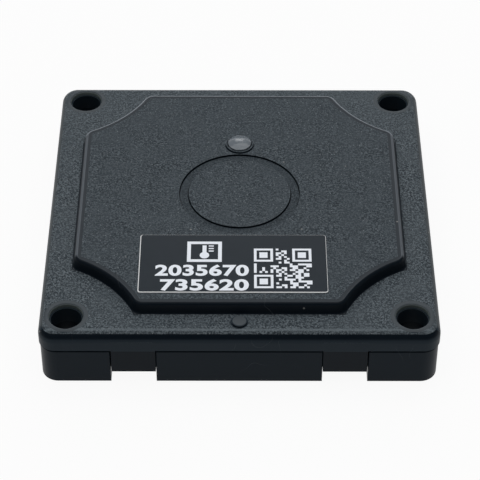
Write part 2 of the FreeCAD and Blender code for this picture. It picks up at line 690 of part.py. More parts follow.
def switch_base():
    """Moulded base of the tactile switch, with a round well for the dome."""
    half = SWITCH_SIZE / 2
    body = block(-half, half, -half, half, BOARD_TOP, SWITCH_TOP)
    return body.cut(disc(SWITCH_WELL_RADIUS, SWITCH_WELL_BOTTOM, SWITCH_TOP + OVERLAP))


def switch_frame():
    """Sheet-metal cover of the switch, with a bore for the plunger and two side tabs."""
    half = SWITCH_SIZE / 2
    plate = block(-half, half, -half, half, SWITCH_TOP, SWITCH_TOP + SWITCH_FRAME_SHEET)
    plate = plate.cut(disc(SWITCH_FRAME_BORE, SWITCH_TOP - OVERLAP, SWITCH_TOP + OVERLAP))
    tabs = []
    for side in SIDES:
        outer = side * (half + SWITCH_FRAME_SHEET)
        top = SWITCH_TOP + SWITCH_FRAME_SHEET
        tabs.append(block(side * half, outer, -half / 2, half / 2, SWITCH_WELL_BOTTOM, top))
    return joined([plate] + tabs)


def switch_plunger():
    """Plunger that the disc's boss pushes, held in by its flange."""
    flange = disc(PLUNGER_FLANGE_RADIUS, PLUNGER_LOWER_END, SWITCH_TOP - PLUNGER_END_GAP)
    stem = disc(PLUNGER_RADIUS, PLUNGER_LOWER_END, PLUNGER_UPPER_END)
    stem = stem.makeFillet(FINE_ROUNDING, level_edges(stem, PLUNGER_UPPER_END))
    return joined([flange, stem])


def switch_dome():
    """Snap dome of thin spring steel under the plunger."""
    ball = (DOME_RADIUS ** 2 + DOME_RISE ** 2) / (2 * DOME_RISE)
    centre = point(0, 0, SWITCH_WELL_BOTTOM + DOME_RISE - ball)
    shell = Part.makeSphere(ball, centre).cut(Part.makeSphere(ball - DOME_SHEET, centre))
    return shell.common(disc(DOME_RADIUS, SWITCH_WELL_BOTTOM, SWITCH_WELL_BOTTOM + 2 * DOME_RISE))


def switch_terminals():
    """Four flat solder leads beside the switch."""
    near = SWITCH_SIZE / 2
    far = near + TERMINAL_LENGTH
    half = TERMINAL_WIDTH / 2
    top = BOARD_TOP + TERMINAL_SHEET
    leads = []
    for side in SIDES:
        for y in (TERMINAL_PITCH / 2, -TERMINAL_PITCH / 2):
            leads.append(block(side * near, side * far, y - half, y + half, BOARD_TOP, top))
    return Part.makeCompound(leads)


def on_board(length, width, height, x, y):
    """A rectangular part on the board's top."""
    half_x = length / 2
    half_y = width / 2
    return block(x - half_x, x + half_x, y - half_y, y + half_y, BOARD_TOP, BOARD_TOP + height)


def status_led():
    """Light-emitting chip under the lens, with a shallow round cup in its top."""
    top = BOARD_TOP + LED_HEIGHT
    cup = cone(LED_CUP_FOOT_RADIUS, LED_CUP_MOUTH_RADIUS, top - LED_CUP_DEPTH, top, 0, LENS_Y)
    return on_board(LED_LENGTH, LED_WIDTH, LED_HEIGHT, 0, LENS_Y).cut(cup)


def radio_shield():
    """Drawn metal can over the radio parts, open at the board."""
    top = BOARD_TOP + SHIELD_HEIGHT
    can = slab(SHIELD_LENGTH / 2, SHIELD_WIDTH / 2, SHIELD_CORNER, BOARD_TOP, top, SHIELD_X, SHIELD_Y)
    hollow = slab(SHIELD_INNER_X, SHIELD_INNER_Y, SHIELD_CORNER - SHIELD_SHEET,
                  BOARD_TOP, top - SHIELD_SHEET, SHIELD_X, SHIELD_Y)
    return can.cut(hollow)


def radio_chip():
    """Radio chip with a dimple at its first pin."""
    x = SHIELD_X + RADIO_CHIP_X
    y = SHIELD_Y + RADIO_CHIP_Y
    top = BOARD_TOP + RADIO_CHIP_HEIGHT
    mark = RADIO_CHIP_SIZE / 2 - PIN_MARK_INSET
    body = on_board(RADIO_CHIP_SIZE, RADIO_CHIP_SIZE, RADIO_CHIP_HEIGHT, x, y)
    return body.cut(disc(PIN_MARK_RADIUS, top - PIN_MARK_DEPTH, top, x - mark, y + mark))


def crystal(length, width, height, hand):
    """A crystal can with rounded upright corners, in a near corner of the shield."""
    x = SHIELD_X + hand * (SHIELD_INNER_X - CRYSTAL_TO_SHIELD - length / 2)
    y = SHIELD_Y - SHIELD_INNER_Y + CRYSTAL_TO_SHIELD + width / 2
    return slab(length / 2, width / 2, CRYSTAL_CORNER, BOARD_TOP, BOARD_TOP + height, x, y)


def radio_crystal():
    """Fast crystal of the radio."""
    return crystal(RADIO_CRYSTAL_LENGTH, RADIO_CRYSTAL_WIDTH, RADIO_CRYSTAL_HEIGHT, 1)


def clock_crystal():
    """Slow crystal of the sleep clock."""
    return crystal(CLOCK_CRYSTAL_LENGTH, CLOCK_CRYSTAL_WIDTH, CLOCK_CRYSTAL_HEIGHT, -1)


def chip_antenna():
    """Ceramic antenna at the board's edge."""
    y = BOARD_HALF - ANTENNA_TO_FRONT - ANTENNA_WIDTH / 2
    return on_board(ANTENNA_LENGTH, ANTENNA_WIDTH, ANTENNA_HEIGHT, ANTENNA_X, y)


def reservoir_capacitor():
    """Moulded capacitor that feeds the radio's bursts, with bevelled upper edges."""
    x = BOARD_HALF - RESERVOIR_TO_SIDE - RESERVOIR_LENGTH / 2
    body = on_board(RESERVOIR_LENGTH, RESERVOIR_WIDTH, RESERVOIR_HEIGHT, x, RESERVOIR_Y)
    return body.makeChamfer(RESERVOIR_BEVEL, level_edges(body, BOARD_TOP + RESERVOIR_HEIGHT))


def chip_capacitors():
    """Small ceramic capacitors: four beside the antenna and one under the shield."""
    to_chip = RADIO_CHIP_SIZE / 2 + SHIELDED_CAPACITOR_TO_CHIP + CAPACITOR_WIDTH / 2
    x = SHIELD_X + RADIO_CHIP_X + to_chip
    y = SHIELD_Y + RADIO_CHIP_Y
    placed = [on_board(CAPACITOR_WIDTH, CAPACITOR_LENGTH, CAPACITOR_HEIGHT, x, y)]
    for sx, sy in CORNERS:
        x = CAPACITOR_X + sx * CAPACITOR_COLUMN_PITCH / 2
        y = BOARD_HALF - CAPACITOR_TO_FRONT + sy * CAPACITOR_ROW_PITCH / 2
        placed.append(on_board(CAPACITOR_LENGTH, CAPACITOR_WIDTH, CAPACITOR_HEIGHT, x, y))
    return Part.makeCompound(placed)


def chip_resistors():
    """A small grid of resistors."""
    placed = []
    for row in range(RESISTOR_ROWS):
        for column in range(RESISTOR_COLUMNS):
            x = RESISTOR_X + column * RESISTOR_PITCH
            y = RESISTOR_TO_BACK - BOARD_HALF + row * RESISTOR_PITCH
            placed.append(on_board(RESISTOR_LENGTH, RESISTOR_WIDTH, RESISTOR_HEIGHT, x, y))
    return Part.makeCompound(placed)


def test_pads():
    """Gold pads for the programming needles."""
    y = PAD_TO_BACK - BOARD_HALF
    pads = []
    for number in range(PAD_COUNT):
        pads.append(disc(PAD_RADIUS, BOARD_TOP, BOARD_TOP + PAD_HEIGHT, PAD_X + number * PAD_PITCH, y))
    return Part.makeCompound(pads)


def sensor_block(size, low, high):
    """A square block at the temperature chip's place."""
    half = size / 2
    return block(SENSOR_X - half, SENSOR_X + half, -half, half, low, high)


def temperature_chip():
    """Temperature chip on the board's underside."""
    return sensor_block(SENSOR_SIZE, SENSOR_BOTTOM, BOARD_BOTTOM)


def thermal_pad():
    """Soft pad between the base's post and the temperature chip."""
    return sensor_block(THERMAL_PAD_SIZE, PAD_BOTTOM, SENSOR_BOTTOM)


def coin_cell_can():
    """Positive can of the coin cell, with its crimped upper rim."""
    top = CELL_TOP - CELL_CAP_STEP
    can = disc(CELL_RADIUS, CELL_BOTTOM, top, 0, CELL_Y)
    can = can.makeFillet(CELL_SHEET, level_edges(can, CELL_BOTTOM) + level_edges(can, top))
    bore = disc(CELL_BORE, CELL_BOTTOM + CELL_SHEET, top - CELL_SHEET, 0, CELL_Y)
    mouth = disc(CELL_BORE - CELL_CRIMP, top - 2 * CELL_SHEET, top + OVERLAP, 0, CELL_Y)
    return can.cut([bore, mouth])


def coin_cell_cap():
    """Negative cap of the coin cell."""
    inner_crown = CELL_CROWN_RADIUS - CELL_SHEET
    shoulder_low = CELL_SHOULDER - CELL_SHEET
    skirt_low = CELL_BOTTOM + 2 * CELL_SHEET
    skirt = ring(CELL_SEAL_BORE, CELL_SEAL_BORE - CELL_SHEET, skirt_low, CELL_SHOULDER, 0, CELL_Y)
    shoulder = ring(CELL_SEAL_BORE, inner_crown, shoulder_low, CELL_SHOULDER, 0, CELL_Y)
    crown = ring(CELL_CROWN_RADIUS, inner_crown, shoulder_low, CELL_TOP, 0, CELL_Y)
    lid = disc(CELL_CROWN_RADIUS, CELL_TOP - CELL_SHEET, CELL_TOP, 0, CELL_Y)
    return joined([skirt, shoulder, crown, lid])


def coin_cell_seal():
    """Nylon ring that keeps the cell's can and cap apart."""
    high = CELL_TOP - CELL_CAP_STEP - CELL_SHEET
    wall = ring(CELL_BORE, CELL_SEAL_BORE, CELL_BOTTOM + CELL_SHEET, high, 0, CELL_Y)
    lip = ring(CELL_BORE, CELL_CROWN_RADIUS, CELL_SHOULDER, high, 0, CELL_Y)
    return joined([wall, lip])


def coin_cell_core():
    """Pressed pellet, separator and lithium that fill the cell, as one body."""
    shoulder_low = CELL_SHOULDER - CELL_SHEET
    pellet = disc(CELL_SEAL_BORE - CELL_SHEET, CELL_BOTTOM + CELL_SHEET, shoulder_low, 0, CELL_Y)
    lithium = disc(CELL_CROWN_RADIUS - CELL_SHEET, shoulder_low, CELL_TOP - CELL_SHEET, 0, CELL_Y)
    return joined([pellet, lithium])


def cell_clip():
    """Sprung strap round the cell, whose two feet are soldered under the board."""
    half_width = CLIP_WIDTH / 2
    low = CELL_BOTTOM - CLIP_SHEET
    outer = CLIP_HALF + CLIP_SHEET
    back = CELL_Y - half_width
    front = CELL_Y + half_width
    pieces = [block(-outer, outer, back, front, low, CELL_BOTTOM)]
    for side in SIDES:
        inner = side * CLIP_HALF
        toe = side * (outer + CLIP_FOOT)
        pieces.append(block(inner, side * outer, back, front, low, BOARD_BOTTOM))
        pieces.append(block(inner, toe, back, front, BOARD_BOTTOM - CLIP_SHEET, BOARD_BOTTOM))
    window = slab(CLIP_WINDOW_LENGTH / 2, CLIP_WINDOW_WIDTH / 2, CLIP_WINDOW_CORNER,
                  low - OVERLAP, CELL_BOTTOM + OVERLAP, 0, CELL_Y)
    return joined(pieces).cut(window)


def negative_contact():
    """Pad with a nib that presses on the cell's cap."""
    pad = disc(CONTACT_RADIUS, BOARD_BOTTOM - CONTACT_SHEET, BOARD_BOTTOM, 0, CELL_Y)
    nib = cone(CONTACT_NIB_RADIUS / 2, CONTACT_NIB_RADIUS, CELL_TOP, BOARD_BOTTOM - CONTACT_SHEET, 0, CELL_Y)
    return joined([pad, nib])


NODES = {
    "top_cover": top_cover,
    "base_shell": base_shell,
    "seal_gasket": seal_gasket,
    "flex_ring": flex_ring,
    "press_disc": press_disc,
    "status_lens": status_lens,
    "id_label": id_label,
    "circuit_board": circuit_board,
    "board_screws": board_screws,
    "switch_base": switch_base,
    "switch_frame": switch_frame,
    "switch_plunger": switch_plunger,
    "switch_dome": switch_dome,
    "switch_terminals": switch_terminals,
    "status_led": status_led,
    "radio_shield": radio_shield,
    "radio_chip": radio_chip,
    "radio_crystal": radio_crystal,
    "clock_crystal": clock_crystal,
    "chip_antenna": chip_antenna,
    "reservoir_capacitor": reservoir_capacitor,
    "chip_capacitors": chip_capacitors,
    "chip_resistors": chip_resistors,
    "test_pads": test_pads,
    "temperature_chip": temperature_chip,
    "thermal_pad": thermal_pad,
    "coin_cell_can": coin_cell_can,
    "coin_cell_cap": coin_cell_cap,
    "coin_cell_seal": coin_cell_seal,
    "coin_cell_core": coin_cell_core,
    "cell_clip": cell_clip,
    "negative_contact": negative_contact,
}


def main():
    """Builds every node and writes one STEP file for each."""
    os.makedirs("parts", exist_ok=True)
    for name, build in NODES.items():
        shape = build()
        shape.exportStep(os.path.join("parts", name + ".step"))
        print(f"{name}: {len(shape.Solids)} solids, {shape.Volume:.2f} mm3, valid {shape.isValid()}")


main()
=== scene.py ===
"""Finishes, print and studio of the square temperature beacon, round its packed construction.

The frame is in metres, +Z up, with the mounting face at z = 0 and the label towards -Y.
Sizes below are in millimetres, and MM turns them into metres. A value whose name ends in
_grain counts the grains in a metre.
"""

import logging
import math
from dataclasses import dataclass, field
from enum import Enum
from typing import Callable, Union

import bpy
from mathutils import Matrix, Vector


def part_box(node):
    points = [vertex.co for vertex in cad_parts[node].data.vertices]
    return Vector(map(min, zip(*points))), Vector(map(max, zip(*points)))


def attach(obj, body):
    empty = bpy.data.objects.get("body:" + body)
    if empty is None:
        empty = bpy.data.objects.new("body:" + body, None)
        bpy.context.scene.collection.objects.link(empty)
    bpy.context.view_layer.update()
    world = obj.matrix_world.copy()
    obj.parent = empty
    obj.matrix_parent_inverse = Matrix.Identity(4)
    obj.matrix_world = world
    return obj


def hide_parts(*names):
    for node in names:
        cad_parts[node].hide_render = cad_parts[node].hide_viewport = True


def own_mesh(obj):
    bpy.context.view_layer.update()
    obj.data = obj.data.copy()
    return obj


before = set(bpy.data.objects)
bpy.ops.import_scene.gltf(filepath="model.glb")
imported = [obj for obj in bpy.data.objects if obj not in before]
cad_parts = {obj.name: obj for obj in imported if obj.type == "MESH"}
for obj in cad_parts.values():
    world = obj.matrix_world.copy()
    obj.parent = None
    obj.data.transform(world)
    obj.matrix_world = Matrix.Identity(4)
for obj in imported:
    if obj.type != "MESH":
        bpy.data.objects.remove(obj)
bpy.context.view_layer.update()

MM = 0.001
MIDDLE = 0.5
WELD = 0.0001
LOG = logging.getLogger("beacon")

Node = bpy.types.Node
Socket = bpy.types.NodeSocket
Piece = bpy.types.Object
Material = bpy.types.Material
Colour = tuple[float, float, float]
Triple = tuple[float, float, float]
Span = tuple[float, float]
Fed = Union[Socket, float, tuple]


class Body(Enum):
    """The bodies that new pieces ride on."""

    HOUSING = "housing"


class Pattern(Enum):
    """How a plain finish varies over its surface."""

    MOTTLED = "mottled"
    BRUSHED = "brushed"
    TURNED = "turned"
    WOVEN = "woven"


class Wiring:
    """Adds shader nodes to one tree and joins them."""

    def __init__(self, tree: bpy.types.NodeTree) -> None:
        """Keeps the tree, a material's or a node group's, that the nodes go into."""
        self.tree = tree

    def node(self, kind: str, **settings: object) -> Node:
        """Adds a node.

        Args:
            kind: The node's type name.
            settings: Properties to set on it.

        Returns:
            The new node.
        """
        made = self.tree.nodes.new(kind)
        for name, value in settings.items():
            setattr(made, name, value)
        return made

    def feed(self, socket: Socket, value: Fed) -> None:
        """Joins an output to an input, or writes a plain value into it.

        Args:
            socket: The input.
            value: An output socket, a number or a tuple.
        """
        if isinstance(value, Socket):
            self.tree.links.new(value, socket)
        else:
            socket.default_value = value

    def feed_all(self, node: Node, values: dict[str, Fed]) -> Node:
        """Feeds a node's inputs by their names.

        Args:
            node: The node.
            values: What each input gets.

        Returns:
            The same node.
        """
        for name, value in values.items():
            self.feed(node.inputs[name], value)
        return node

    def math(self, operation: str, *values: Fed) -> Socket:
        """Works out a number from one to three others.

        Args:
            operation: The Math node's operation.
            values: Its inputs, in order.

        Returns:
            The result's socket.
        """
        made = self.node("ShaderNodeMath", operation=operation)
        for socket, value in zip(made.inputs, values):
            self.feed(socket, value)
        return made.outputs[0]

    def product(self, first: Fed, *others: Fed) -> Fed:
        """Multiplies numbers in order.

        Args:
            first: The first number.
            others: The numbers that it is multiplied by.

        Returns:
            The product's socket.
        """
        for other in others:
            first = self.math("MULTIPLY", first, other)
        return first

    def step(self, value: Fed, low: float, high: float, new_low: float = 0.0,
             new_high: float = 1.0) -> Socket:
        """Maps a value smoothly from one range to another, held at both ends.

        Args:
            value: The number to map.
            low: Where the step starts.
            high: Where it ends.
            new_low: The result below the step.
            new_high: The result above the step.

        Returns:
            The result's socket.
        """
        made = self.node("ShaderNodeMapRange", interpolation_type="SMOOTHSTEP")
        for socket, given in zip(made.inputs, (value, low, high, new_low, new_high)):
            self.feed(socket, given)
        return made.outputs[0]

    def mix(self, share: Fed, first: Fed, second: Fed) -> Socket:
        """Mixes two colours.

        Args:
            share: How much of the second colour shows.
            first: The colour at 0.
            second: The colour at 1.

        Returns:
            The mixed colour's socket.
        """
        made = self.node("ShaderNodeMix", data_type="RGBA")
        self.feed(made.inputs["Factor"], share)
        colours = [s for s in made.inputs if s.type == "RGBA"]
        for socket, value in zip(colours, (first, second)):
            self.feed(socket, (*value, 1.0) if isinstance(value, tuple) else value)
        return next(s for s in made.outputs if s.type == "RGBA")

    def place(self) -> Socket:
        """Gives the point in the piece's own frame."""
        return self.node("ShaderNodeTexCoord").outputs["Object"]

    def axes(self, vector: Socket) -> list[Socket]:
        """Splits a vector into the sockets of its X, Y and Z."""
        return list(self.feed_all(self.node("ShaderNodeSeparateXYZ"), {"Vector": vector}).outputs)

    def stretched(self, vector: Socket, scale: tuple) -> Socket:
        """Scales a point's three numbers by three factors."""
        made = self.node("ShaderNodeMapping", vector_type="POINT")
        return self.feed_all(made, {"Vector": vector, "Scale": scale}).outputs[0]

    def apart(self, x: Fed, y: Fed, centre_x: Fed, centre_y: Fed) -> Socket:
        """Measures how far a point is from another, seen from above.

        Args:
            x: The point's X.
            y: The point's Y.
            centre_x: The other point's X.
            centre_y: The other point's Y.

        Returns:
            The distance's socket.
        """
        across = self.math("SUBTRACT", x, centre_x)
        along = self.math("SUBTRACT", y, centre_y)
        squares = self.math("ADD", self.product(across, across), self.product(along, along))
        return self.math("SQRT", squares)

    def noise(self, vector: Socket, grain: Fed, detail: float = 2.0, bend: float = 0.0) -> Socket:
        """Adds soft noise, about 0.5 on average, with so many grains in a metre."""
        values = {"Vector": vector, "Scale": grain, "Detail": detail, "Distortion": bend}
        return self.feed_all(self.node("ShaderNodeTexNoise"), values).outputs["Fac"]

    def cells(self, vector: Socket, grain: Fed) -> Node:
        """Adds a cell pattern with so many cells in a metre, and gives its node."""
        return self.feed_all(self.node("ShaderNodeTexVoronoi"), {"Vector": vector, "Scale": grain})

    def relief(self, shader: Node, height: Fed, depth: float) -> None:
        """Lets a pattern stand out of the shaded surface by so many millimetres."""
        bump = self.feed_all(self.node("ShaderNodeBump"), {"Distance": depth * MM, "Height": height})
        self.feed(shader.inputs["Normal"], bump.outputs[0])


class EffectGroup:
    """A shader node group with named inputs and outputs, built once."""

    def __init__(self, name: str, inputs: list[str],
                 build: Callable[[Wiring, Node], dict[str, Fed]]) -> None:
        """Makes the group and fills it.

        Args:
            name: The group's name.
            inputs: The inputs' names.
            build: Fills the group, given its wiring and its input node, and gives each output.
        """
        self.tree = bpy.data.node_groups.new(name, "ShaderNodeTree")
        for given in inputs:
            self.tree.interface.new_socket(given, in_out="INPUT", socket_type="NodeSocketFloat")
        wiring = Wiring(self.tree)
        results = build(wiring, wiring.node("NodeGroupInput"))
        for result in results:
            self.tree.interface.new_socket(result, in_out="OUTPUT", socket_type="NodeSocketFloat")
        wiring.feed_all(wiring.node("NodeGroupOutput"), results)

    def put(self, wiring: Wiring, **values: Fed) -> bpy.types.NodeOutputs:
        """Places the group in a material with its inputs fed, and gives its outputs."""
        return wiring.feed_all(wiring.node("ShaderNodeGroup", node_tree=self.tree), values).outputs


@dataclass(frozen=True)
class SparkGrain:
    """Winding bumps of a spark-eroded mould, with a faint finer layer and small bright points that are painted
    glints.
    """

    bend: float = 0.9
    fine_ratio: float = 2.7
    fine_share: float = 0.08
    crest_edge: Span = (0.43, 0.61)
    patch_grain: float = 260.0
    patch_edge: Span = (0.35, 0.65)
    patch_least: float = 0.55
    fade_start: float = 6.0
    fade_end: float = 28.0
    fade_least: float = 0.62
    point_ratio: float = 0.7
    point_edge: Span = (0.10, 0.24)
    point_choice: float = 0.76

    def fill(self, wiring: Wiring, given: Node) -> dict[str, Fed]:
        """Fills the group, whose Size is one bump in metres.

        The crests differ from patch to patch, and stand out less towards the back.

        Args:
            wiring: The group's wiring.
            given: The group's input node.

        Returns:
            What goes to each output.
        """
        place = wiring.place()
        per_metre = wiring.math("DIVIDE", 1.0, given.outputs["Size"])
        broad = wiring.noise(place, per_metre, 1.0, self.bend)
        fine = wiring.noise(place, wiring.product(per_metre, self.fine_ratio), 1.0)
        patch = wiring.step(wiring.noise(place, self.patch_grain), *self.patch_edge, self.patch_least)
        fade = wiring.step(wiring.axes(place)[1], self.fade_start * MM, self.fade_end * MM,
                           1.0, self.fade_least)
        crest = wiring.math("SUBTRACT", wiring.step(broad, *self.crest_edge), MIDDLE)
        # painted glints: small bright points on cells chosen at random
        points = wiring.cells(place, wiring.product(per_metre, self.point_ratio))
        small = wiring.step(points.outputs["Distance"], *self.point_edge, 1.0, 0.0)
        some = wiring.math("GREATER_THAN", wiring.axes(points.outputs["Color"])[1], self.point_choice)
        return {"Height": wiring.math("MULTIPLY_ADD", fine, self.fine_share, broad),
                "Crest": wiring.math("MULTIPLY_ADD", crest, wiring.product(patch, fade), MIDDLE),
                "Spark": wiring.product(small, some)}


@dataclass(frozen=True)
class FlatZones:
    """Where the mould is textured, and how its smooth places differ."""

    plateau_half: float = 24.65
    bite_centre: float = 31.8
    bite_radius: float = 18.1
    inner_band: float = 1.26
    outer_band: float = 0.12
    dot_place: float = -26.35
    ring_radius: float = 1.30
    face_place: float = -26.25
    face_radius: float = 0.98
    hole_place: float = 25.0
    rim_reach: float = 3.2
    rim_floor: float = 8.85
    rim_edge: float = 9.40
    cover_foot: float = 6.30
    valley_low: float = 8.36
    valley_high: float = 8.75
    brink_place: float = -27.77
    brink_half: float = 0.08
    brink_reach: float = 0.28
    steep_rise: float = 0.6
    turned_rise: Span = (0.97, 0.999)
    highlight_backward: Span = (-0.25, 0.30)
    highlight_rise: Span = (0.05, 0.60)
    band_rise: Span = (0.90, 0.995)
    to_front: float = -0.3

    def fill(self, wiring: Wiring, given: Node) -> dict[str, Fed]:
        """Fills the group, whose Slope is how far up a face has to look to be textured.

        The texture keeps off steep faces, the dot with the ring round it, the rims of the holes and
        a band along the plateau's outline. Edge is 1 over the plateau. Deep is 1 over it, at its
        foot, below the cover's lower edge and in the valley of the cover's near rounding, where
        smooth faces get painted shade. Brink is 1 on the line where that rounding starts, which gets
        a painted highlight. Band is 1 where the plateau's rim lies flat, Soft is 1 on the dot's face
        and round the holes, and Rim is 1 on the wall under a hole's rim, which gets painted light.
        Shade is how much painted highlight a rounding gets: most where it faces the back, and not at
        all in front.

        Args:
            wiring: The group's wiring.
            given: The group's input node.

        Returns:
            What goes to each output.
        """
        coordinates = wiring.node("ShaderNodeTexCoord")
        _, backward, rise = wiring.axes(coordinates.outputs["Normal"])
        x, y, z = wiring.axes(coordinates.outputs["Object"])
        across = wiring.math("ABSOLUTE", x)
        along = wiring.math("ABSOLUTE", y)
        slope = given.outputs["Slope"]

        furthest = wiring.math("MAXIMUM", across, along)
        past_side = wiring.math("SUBTRACT", furthest, self.plateau_half * MM)
        from_bite = wiring.apart(across, along, self.bite_centre * MM, self.bite_centre * MM)
        past_bite = wiring.math("SUBTRACT", self.bite_radius * MM, from_bite)
        past = wiring.math("MAXIMUM", past_side, past_bite)
        inside = wiring.math("LESS_THAN", past, -self.inner_band * MM)
        outside = wiring.math("GREATER_THAN", past, self.outer_band * MM)
        over = wiring.math("LESS_THAN", past, 0.0)
        from_dot = wiring.apart(x, y, 0.0, self.dot_place * MM)
        off_dot = wiring.math("GREATER_THAN", from_dot, self.ring_radius * MM)
        from_hole = wiring.apart(across, along, self.hole_place * MM, self.hole_place * MM)
        off_rim = wiring.math("GREATER_THAN", from_hole, self.rim_reach * MM)
        flat = wiring.math("GREATER_THAN", rise, slope)
        grained = wiring.product(flat, wiring.math("MAXIMUM", inside, outside))

        from_face = wiring.apart(x, y, 0.0, self.face_place * MM)
        on_face = wiring.math("LESS_THAN", from_face, self.face_radius * MM)
        in_rim = wiring.math("SUBTRACT", 1.0, off_rim)
        on_rim = wiring.product(in_rim, wiring.math("GREATER_THAN", z, self.rim_edge * MM))
        # the wall under a hole's rim gets painted light
        in_wall = wiring.product(in_rim, wiring.math("GREATER_THAN", z, self.rim_floor * MM))
        turned = wiring.step(rise, *self.turned_rise, 1.0, 0.0)
        # painted highlight on roundings: most where they face the back and lean up, none in front
        painted_highlight = wiring.product(wiring.step(backward, *self.highlight_backward), wiring.step(rise, *self.highlight_rise))

        # painted shade goes on smooth faces below the cover's foot, in the valley of the cover's near
        # rounding, and over the plateau and its foot band
        below = wiring.math("LESS_THAN", z, self.cover_foot * MM)
        high = wiring.step(z, self.valley_low * MM, self.valley_high * MM)
        in_front = wiring.product(wiring.math("LESS_THAN", backward, self.to_front), off_rim)
        valley = wiring.product(high, wiring.product(in_front, wiring.math("LESS_THAN", rise, slope)))
        inner = wiring.math("MAXIMUM", wiring.math("SUBTRACT", 1.0, outside), below)
        # the line where the cover's near rounding starts gets a painted highlight
        off_brink = wiring.math("ABSOLUTE", wiring.math("SUBTRACT", y, self.brink_place * MM))
        return {"Textured": wiring.product(grained, wiring.product(off_dot, off_rim)),
                "Soft": wiring.math("MAXIMUM", on_face, on_rim),
                "Rim": wiring.product(in_wall, wiring.math("LESS_THAN", rise, self.steep_rise)),
                "Shade": wiring.product(painted_highlight, turned, wiring.math("MAXIMUM", over, outside)),
                "Edge": over,
                "Deep": wiring.math("MAXIMUM", inner, valley),
                "Band": wiring.product(over, wiring.step(rise, *self.band_rise)),
                "Brink": wiring.step(off_brink, self.brink_half * MM, self.brink_reach * MM, 1.0, 0.0)}


@dataclass(frozen=True)
class HandlingMarks:
    """Marks of handling: pale dust specks, hair-thin scratches and wide smudges."""

    speck_grain: float = 420.0
    speck_edge: Span = (0.05, 0.075)
    speck_choice: float = 0.86
    scratch_grain: float = 260.0
    scratch_stretch: Triple = (1.0, 0.09, 1.0)
    scratch_width: float = 0.0025
    break_grain: float = 110.0
    break_edge: Span = (0.60, 0.68)
    smudge_grain: float = 55.0
    smudge_detail: float = 3.0
    smudge_edge: Span = (0.35, 0.7)

    def fill(self, wiring: Wiring, given: Node) -> dict[str, Fed]:
        """Fills the group, whose inputs say how strong the dust and the scratches are.

        Args:
            wiring: The group's wiring.
            given: The group's input node.

        Returns:
            What goes to each output.
        """
        place = wiring.place()
        specks = wiring.cells(place, self.speck_grain)
        speck = wiring.step(specks.outputs["Distance"], *self.speck_edge, 1.0, 0.0)
        chosen = wiring.math("GREATER_THAN", wiring.axes(specks.outputs["Color"])[0], self.speck_choice)
        long = wiring.stretched(place, self.scratch_stretch)
        swing = wiring.math("SUBTRACT", wiring.noise(long, self.scratch_grain, 0.0), MIDDLE)
        thin = wiring.step(wiring.math("ABSOLUTE", swing), 0.0, self.scratch_width, 1.0, 0.0)
        broken = wiring.step(wiring.noise(place, self.break_grain, 1.0), *self.break_edge)
        smudge = wiring.noise(place, self.smudge_grain, self.smudge_detail)
        return {"Dust": wiring.product(speck, chosen, given.outputs["Dust"]),
                "Scratches": wiring.product(thin, broken, given.outputs["Scratches"]),
                "Smudge": wiring.step(smudge, *self.smudge_edge)}


SPARK_GRAIN = EffectGroup("spark_grain", ["Size"], SparkGrain().fill)
FLAT_ZONES = EffectGroup("flat_zones", ["Slope"], FlatZones().fill)
HANDLING = EffectGroup("handling_marks", ["Dust", "Scratches"], HandlingMarks().fill)


def new_material(name: str) -> tuple[Material, Wiring, Node]:
    """Makes a node material with its shader.

    Args:
        name: The material's name.

    Returns:
        The material, its wiring and its Principled shader.
    """
    material = bpy.data.materials.new(name)
    material.use_nodes = True
    shader = next(n for n in material.node_tree.nodes if n.type == "BSDF_PRINCIPLED")
    return material, Wiring(material.node_tree), shader


